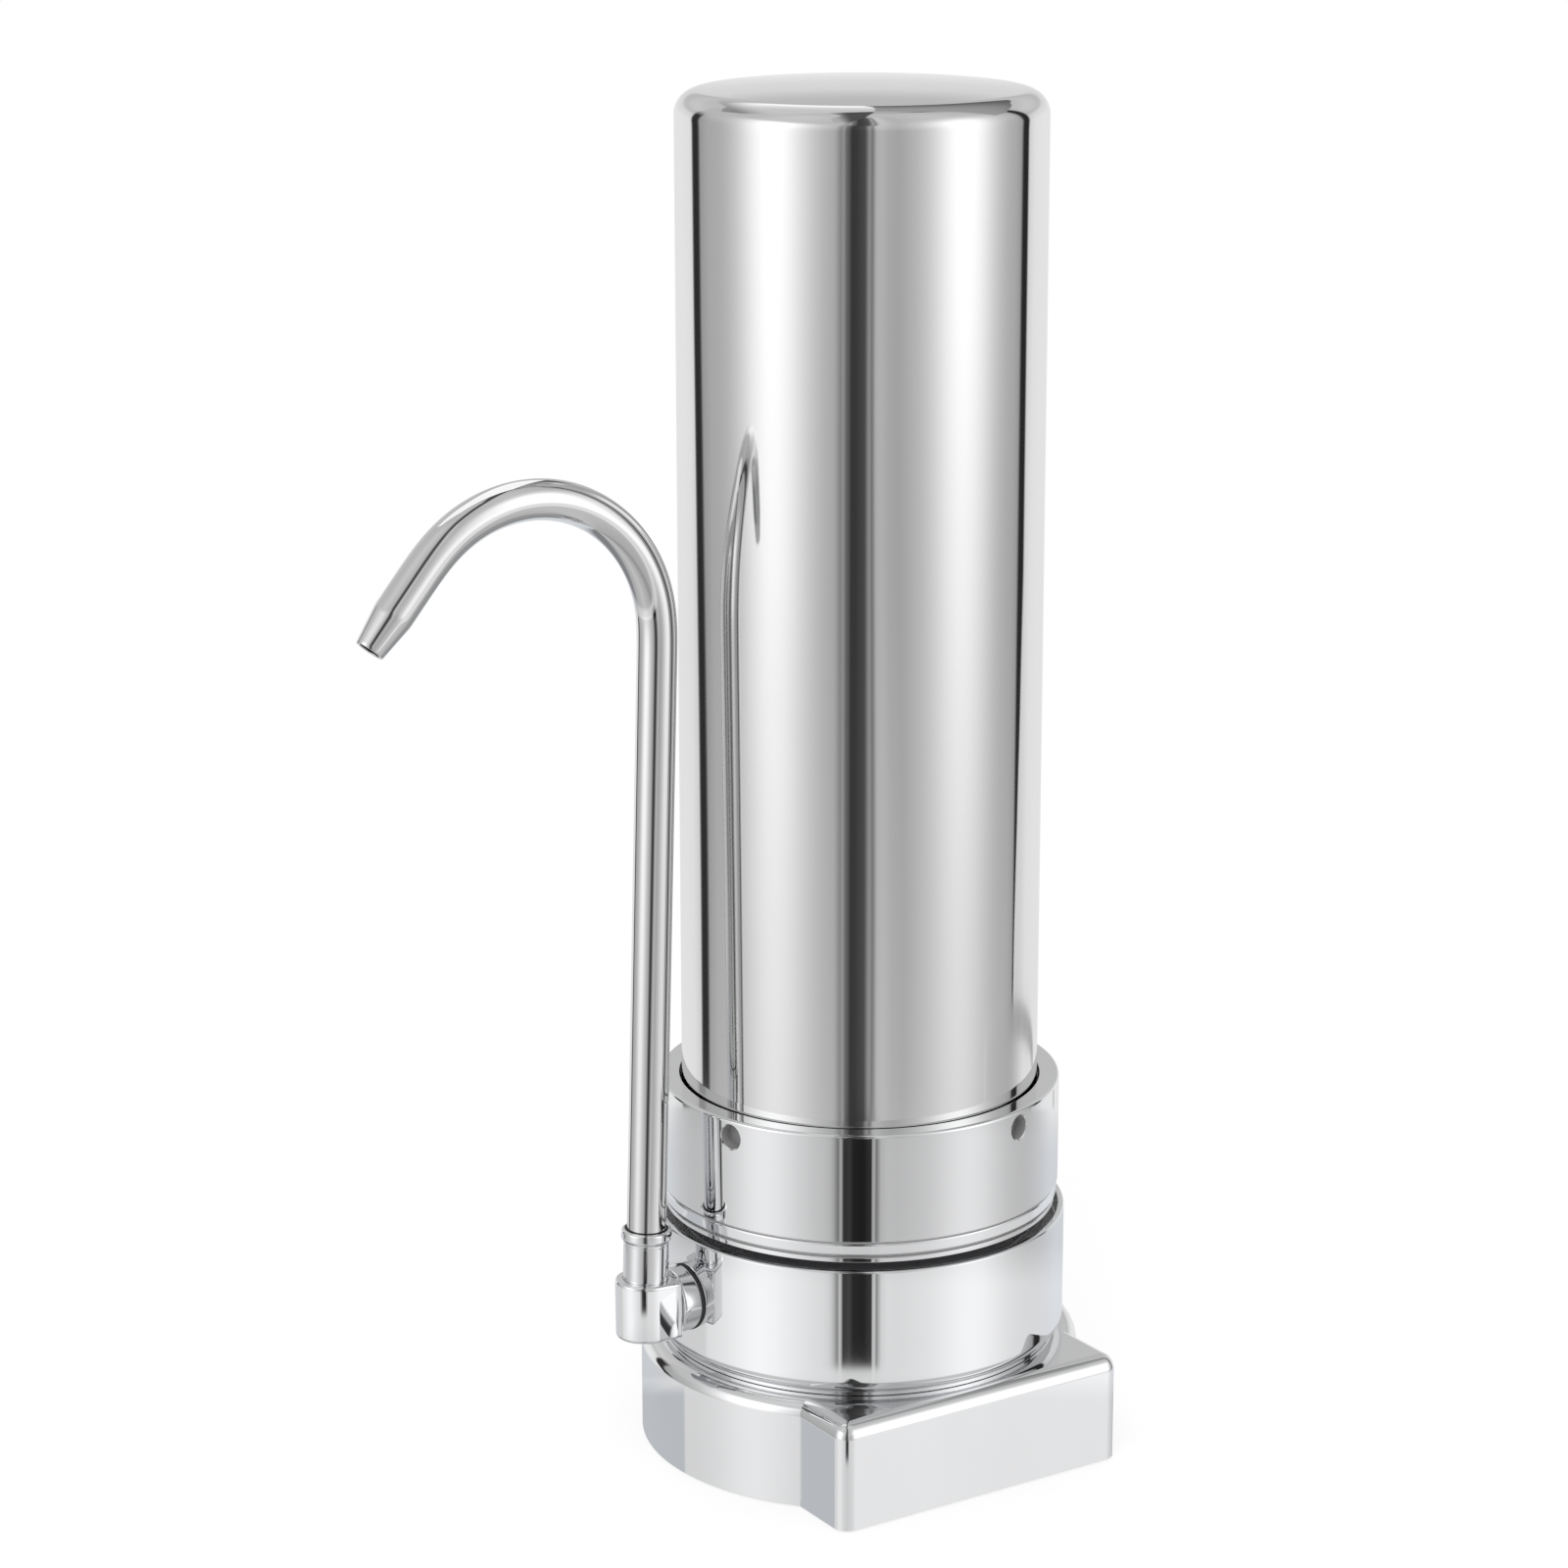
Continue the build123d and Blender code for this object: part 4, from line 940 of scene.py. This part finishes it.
studio = dict(
    cameraTurn=123.92,  # brings the camera's side to the front of the pattern
    leftAt=-56.0, leftWide=24.0, rightAt=66.0, rightWide=23.5,
    panelTop=0.93, upper=0.66, ambient=1.0, shade=(0.955, 0.985, 1.03), arch=0.46, rim=0.06,
    # sine of the elevation: panel level, glow of the lamps in the panels, level of the surround behind
    levels=[(-0.412, 0.80, 0.20, 0.62), (-0.394, 0.81, 0.20, 0.62), (-0.392, 0.885, 0.28, 0.84),
            (-0.369, 0.885, 0.28, 0.92), (-0.3645, 0.62, 0.40, 0.78), (-0.339, 0.61, 0.42, 0.80),
            (-0.334, 0.575, 0.47, 0.95), (-0.29, 0.545, 0.58, 0.96), (-0.213, 0.505, 0.79, 0.97),
            (-0.11, 0.52, 0.96, 0.98), (0.0, 0.52, 1.0, 0.98), (0.10, 0.53, 1.0, 0.90), (0.165, 0.555, 1.0, 0.88),
            (0.20, 0.57, 1.0, 0.76), (0.22, 0.58, 1.0, 0.69), (0.26, 0.60, 1.0, 0.65), (0.32, 0.62, 1.0, 0.71),
            (0.42, 0.63, 1.0, 0.75), (0.50, 0.64, 1.0, 0.69), (0.80, 0.66, 1.0, 0.62)],
    # bearing from the camera: share of the panel's level, for high and for low reflections
    gap=[(-30, 0.99, 1.0), (-20, 0.96, 0.97), (-16.5, 0.93, 0.9), (-15.1, 0.83, 0.8), (-13.6, 0.66, 0.62),
         (-12.2, 0.52, 0.38), (-11.4, 0.66, 0.36), (-10.5, 0.70, 0.74), (-9.7, 0.46, 0.62), (-8.7, 0.30, 0.07),
         (-7, 0.22, 0.06), (-6.2, 0.09, 0.075), (-5, 0.095, 0.075), (-3, 0.10, 0.03), (2.4, 0.17, 0.025),
         (3.6, 0.45, 0.03), (4.8, 0.72, 0.045), (5.6, 0.58, 0.05), (6.4, 0.40, 0.055), (7.1, 0.57, 0.06),
         (7.8, 0.8, 0.74), (8.8, 1.10, 0.78), (9.9, 1.12, 0.34), (11.2, 1.14, 0.62), (12.6, 1.12, 0.9),
         (16, 1.0, 1.0), (22, 0.9, 0.98), (30, 0.95, 1.0)],
    # bearing from the camera: share of light, and where the surround behind starts
    sides=[(-128, 1.0, 1), (-126.4, 0.07, 1), (-125, 0.06, 0), (-118.6, 0.07, 0), (-117, 0.8, 0), (-108, 1.0, 0),
           (108, 1.0, 0), (114.6, 0.85, 0), (116, 0.06, 0), (121, 0.05, 0), (122.4, 0.06, 1), (124, 1.0, 1)],
    # sine of the elevation: shift of the left side's line (tens of degrees), narrowing of the right side's (sixths),
    # strength of the right lamp (over 1.2)
    drift=[(-0.412, 0.5, 1.0, 0.83), (-0.369, 0.5, 1.0, 0.83), (-0.3645, 0.5, 1.0, 0.72), (-0.32, 0.5, 1.0, 0.72),
           (-0.2935, 0.5, 0.75, 0.72), (-0.282, 0.49, 0.5, 0.73), (-0.271, 0.47, 0.367, 0.74),
           (-0.248, 0.42, 0.242, 0.77), (-0.213, 0.3, 0.167, 0.80), (-0.15, 0.08, 0.167, 0.88),
           (-0.11, 0.0, 0.167, 0.88), (0.80, 0.0, 0.167, 0.83)],
)
white = (1, 1, 1, 1)


def channels(value, low, high, rows):
    # a ramp whose channels carry several values along one measure
    stops = [((row[0] - low) / (high - low), (*row[1:], 0.0)[:3]) for row in rows]
    colour = ramp(value.tree, value.span(low, high, kind="LINEAR"), stops)
    return split(value.tree, "ShaderNodeSeparateColor", Color=colour)


def fromCamera(tree, spot):
    # towards the camera's side, to its right, and up
    facing = place(tree, "ShaderNodeMapping", Vector=spot, Rotation=(0, 0, math.radians(studio["cameraTurn"])))
    return split(tree, "ShaderNodeSeparateXYZ", Vector=facing)


def buildWorld():
    world = bpy.data.worlds.new("studio")
    world.use_nodes = True
    tree = world.node_tree
    tree.nodes.clear()
    ahead, right, rise = fromCamera(tree, tree.nodes.new("ShaderNodeTexCoord").outputs["Generated"])
    bearing = right.calc("ARCTAN2", right, ahead) * (180 / math.pi)
    aside = abs(bearing)

    def bell(at, wide, strength):
        off = (bearing - at) / wide
        return off.calc("POWER", math.e, off * off * -1.0) * strength

    panel, glow, behind = channels(rise, -0.42, 0.82, studio["levels"])
    leftShift, rightSqueeze, rightShare = channels(rise, -0.42, 0.82, studio["drift"])
    leftLamp = bell(studio["leftAt"], studio["leftWide"], rise.span(0.45, 0.62, 1.0, 0.12))
    rightLamp = bell(studio["rightAt"], studio["rightWide"], rightShare * rise.span(0.40, 0.80, 1.2, 0.12))
    lamps = leftLamp + rightLamp

    # panels and the gap between them, which leans to the right low down and high up
    rightOnly = bearing.atLeast(0.0) * rise.span(-0.30, -0.15, 0.2, 0.0)
    leaning = rightOnly + rise.span(0.42, 0.55, 0.0, 3.0)
    gapHigh = channels(bearing - leaning, -30.0, 30.0, studio["gap"])[0]
    gapLow = channels(bearing, -30.0, 30.0, studio["gap"])[1]
    gap = blend(rise.span(-0.3395, -0.3365), gapLow, gapHigh)
    faint = gap * 0.05 + 0.95
    deep = rise.span(-0.3995, -0.3985, 1.0, 0.0) * rise.span(-0.411, -0.4085)
    gap = blend(deep.atLeast(rise.span(-0.3911, -0.3889)), faint, gap)
    above = rise.span(studio["panelTop"] - 0.03, studio["panelTop"] + 0.03)
    front = blend(above, (panel + lamps * glow) * gap, studio["upper"])

    # dark lines where the surround starts
    upright = rise.span(-0.3335, -0.3315)  # reflections in the housing, beside its front
    moved = leftShift * 10.0 * bearing.span(-100.0, -60.0, 1.0, 0.0)
    drawn = (bearing - 115.3).atLeast(0.0) * (rightSqueeze * 6.0 - 1.0)
    line, isRear = channels(bearing - moved + drawn, -180.0, 180.0, studio["sides"])[:2]
    highLeft = rise.span(0.20, 0.42) * bearing.span(-20.0, 20.0, 1.0, 0.0)
    line = blend(upright * (1.0 - highLeft), 1.0, line)
    lowLeft = bearing.span(-106.0, -103.5, 1.0, 0.0) * rise.span(-0.3955, -0.3925, 1.0, 0.0)
    isRear = blend(upright, aside.span(106.0, 150.0), isRear).atLeast(lowLeft)
    dim = aside.span(140.0, 178.0, 1.0, 0.86) * blend(upright, 1.0, aside.span(121.0, 134.0, 0.86, 1.0))

    def archway(middle, width, springing, height):
        across = (bearing - middle) / width
        up = (rise - springing).atLeast(0.0) / height
        return across * across + up * up

    # arch low on the right, with a light rim on its left
    outline = archway(120.0, 33.0, -0.3200, 0.0117)
    inner = archway(118.0, 33.0, -0.3240, 0.0074).span(0.88, 1.0, 1.0, 0.0)
    opening = outline.span(0.90, 1.0, 1.0, 0.0) * upright
    isRear = blend(opening, isRear, bearing.span(112.0, 130.0))
    around = blend(isRear, front, behind * dim) * line.atLeast(opening)
    around = blend(opening * (1.0 - inner) * bearing.span(106.0, 116.0), around, studio["arch"])
    rim = outline.span(0.78, 0.90) * outline.span(0.96, 1.04, 1.0, 0.0) * upright
    around = around + rim * bearing.span(105.0, 112.0, studio["rim"], 0.0)
    fold = rise.span(-0.3925, -0.391) * rise.span(-0.3675, -0.366, 1.0, 0.0) * bearing.span(-97.0, -93.0, 0.14, 0.0)
    around = around * (1.0 - fold)

    # steep reflections of the worktop: grey in front, dark beside the object, pale straight behind
    steepFront = (lamps * 0.15 + 0.55) * (gapLow * 0.25 + 0.75)
    steep = blend(aside.span(98.0, 116.0), steepFront, aside.span(148.0, 168.0, 0.30, 0.88))
    pattern = blend(rise.span(-0.50, -0.43, 1.0, 0.0), around, steep)
    tint = mixColour(tree, isRear * rise.span(-0.345, -0.330, 1.0, 0.0), white, (*studio["shade"], 1))
    reflected = place(tree, "ShaderNodeBackground", Color=tint, Strength=pattern)
    plain = place(tree, "ShaderNodeBackground", Color=white, Strength=studio["ambient"])
    backdrop = place(tree, "ShaderNodeBackground", Color=white)
    light = tree.nodes.new("ShaderNodeLightPath").outputs
    lit = mixShader(tree, light["Is Glossy Ray"], plain, reflected)
    seen = mixShader(tree, light["Is Camera Ray"], lit, backdrop)
    place(tree, "ShaderNodeOutputWorld", Surface=seen)
    return world


scene.world = buildWorld()


def stagePiece(name, draft):
    # an object whose finish starts with an empty tree
    made = bpy.data.materials.new(name)
    made.use_nodes = True
    made.node_tree.nodes.clear()
    draft.materials.append(made)
    return linked(name, draft), made.node_tree


# cards over and behind the object, seen in its mirrors only: corners are metres ahead and to the right; levels go
# from the card's far side to its near one, and the crown has its own, with a fade (start, end, share) at the left
cardLook = dict(height=0.65, far=-0.45, near=-0.05, crownDrop=(0.32, 0.34))
cards = {
    "litCard": dict(level=(1.3, 1.3), crownLevel=(1.3, 0.75), leftFade=(-4.6, -2.3, 0.42), corners=(
        (-0.02, 0.02), (0.02, -0.06), (0.05, -0.19), (-0.03, -0.34), (-0.16, -0.42), (-0.22, -0.26), (-0.40, -0.21),
        (-0.60, -0.15), (-0.60, 0.0))),
    "darkCard": dict(level=(0.16, 0.42), crownLevel=(0.16, 0.42), leftFade=(-4.6, -2.3, 1.0), corners=(
        (-0.02, 0.03), (-0.02, 0.33), (-0.06, 0.52), (-0.17, 0.50), (-0.23, 0.40), (-0.38, 0.25), (-0.60, 0.17),
        (-0.60, 0.0), (-0.02, 0.02))),
    "darkStrip": dict(level=(0.10, 0.10), crownLevel=(0.10, 0.10), leftFade=(-0.80, -0.28, 5.5), corners=(
        (0.36, -0.12), (0.36, -0.05), (0.17, 0.01), (0.03, 0.02), (-0.02, 0.02), (0.02, -0.06), (0.05, -0.06),
        (0.11, -0.045), (0.20, -0.09))),
}


def hangCard(name, look):
    turn = Matrix.Rotation(math.radians(-studio["cameraTurn"]), 3, "Z")
    corners = [turn @ Vector((ahead, right, cardLook["height"])) for ahead, right in look["corners"]]
    card, tree = stagePiece(name, meshFrom(corners, [], [tuple(range(len(corners)))]))
    ahead, right = fromCamera(tree, tree.nodes.new("ShaderNodeTexCoord").outputs["Object"])[:2]
    aside = right / (ahead * 0.1 + 0.08)
    plain = ahead.span(cardLook["far"], cardLook["near"], *look["level"])
    onCrown = ahead.span(cardLook["far"], cardLook["near"], *look["crownLevel"])
    onCrown = onCrown * aside.span(*look["leftFade"], 1.0)
    incoming = tree.nodes.new("ShaderNodeNewGeometry").outputs["Incoming"]
    slope = split(tree, "ShaderNodeSeparateXYZ", Vector=incoming)[2]
    drop = reading(tree, "ShaderNodeLightPath", "Ray Length") * abs(slope)  # from the card to the mirror below it
    level = blend(drop.span(*cardLook["crownDrop"], 1.0, 0.0), plain, onCrown)
    glow = place(tree, "ShaderNodeEmission", Color=white, Strength=level)
    place(tree, "ShaderNodeOutputMaterial", Surface=glow)
    card.visible_camera = card.visible_diffuse = card.visible_transmission = card.visible_shadow = False


for cardName, cardShape in cards.items():
    hangCard(cardName, cardShape)

floorLook = dict(size=6.0, colour=(0.95, 0.95, 0.95, 1), shade=0.25, fadeStart=0.2, fadeEnd=0.6)


def buildFloor():
    size = floorLook["size"]
    corners = [(-size, -size, 0), (size, -size, 0), (size, size, 0), (-size, size, 0)]
    floor, tree = stagePiece("floor", meshFrom(corners, [], [(0, 1, 2, 3)]))
    matt = place(tree, "ShaderNodeBsdfDiffuse", Color=floorLook["colour"])
    glow = place(tree, "ShaderNodeEmission", Color=white, Strength=1.0)
    far = reading(tree, "ShaderNodeVectorMath", "Value", {"operation": "LENGTH"},
                  Vector=tree.nodes.new("ShaderNodeTexCoord").outputs["Object"])
    shown = far.span(floorLook["fadeStart"], floorLook["fadeEnd"], floorLook["shade"], 0.0)
    seen = reading(tree, "ShaderNodeLightPath", "Is Camera Ray")
    place(tree, "ShaderNodeOutputMaterial", Surface=mixShader(tree, 1.0 - seen * (1.0 - shown), glow, matt))
    floor.visible_glossy = False


buildFloor()

keyLook = dict(size=1.2, energy=14.0, place=(-0.9, -0.9, 1.5), target=(0, 0, 0.15))
keyLight = bpy.data.lights.new("keySoftbox", "AREA")
keyLight.shape, keyLight.size, keyLight.energy = "DISK", keyLook["size"], keyLook["energy"]
keyObject = linked("keySoftbox", keyLight)
keyObject.location = keyLook["place"]
keyWay = Vector(keyLook["target"]) - keyObject.location
keyObject.rotation_euler = keyWay.to_track_quat("-Z", "Y").to_euler()
keyObject.visible_glossy = False


# camera at the photograph's place

view = dict(place=(-0.5776, -0.8591, 0.4531), tilt=74.949, heading=-32.843, roll=-0.115, lens=96.61, sensor=36.0)
lens = bpy.data.cameras.new("camera")
lens.lens, lens.sensor_width = view["lens"], view["sensor"]
camera = linked("camera", lens)
camera.matrix_world = (Matrix.Translation(view["place"]) @ Matrix.Rotation(math.radians(view["heading"]), 4, "Z")
                       @ Matrix.Rotation(math.radians(view["tilt"]), 4, "X")
                       @ Matrix.Rotation(math.radians(view["roll"]), 4, "Z"))
scene.camera = camera
print("studio set")
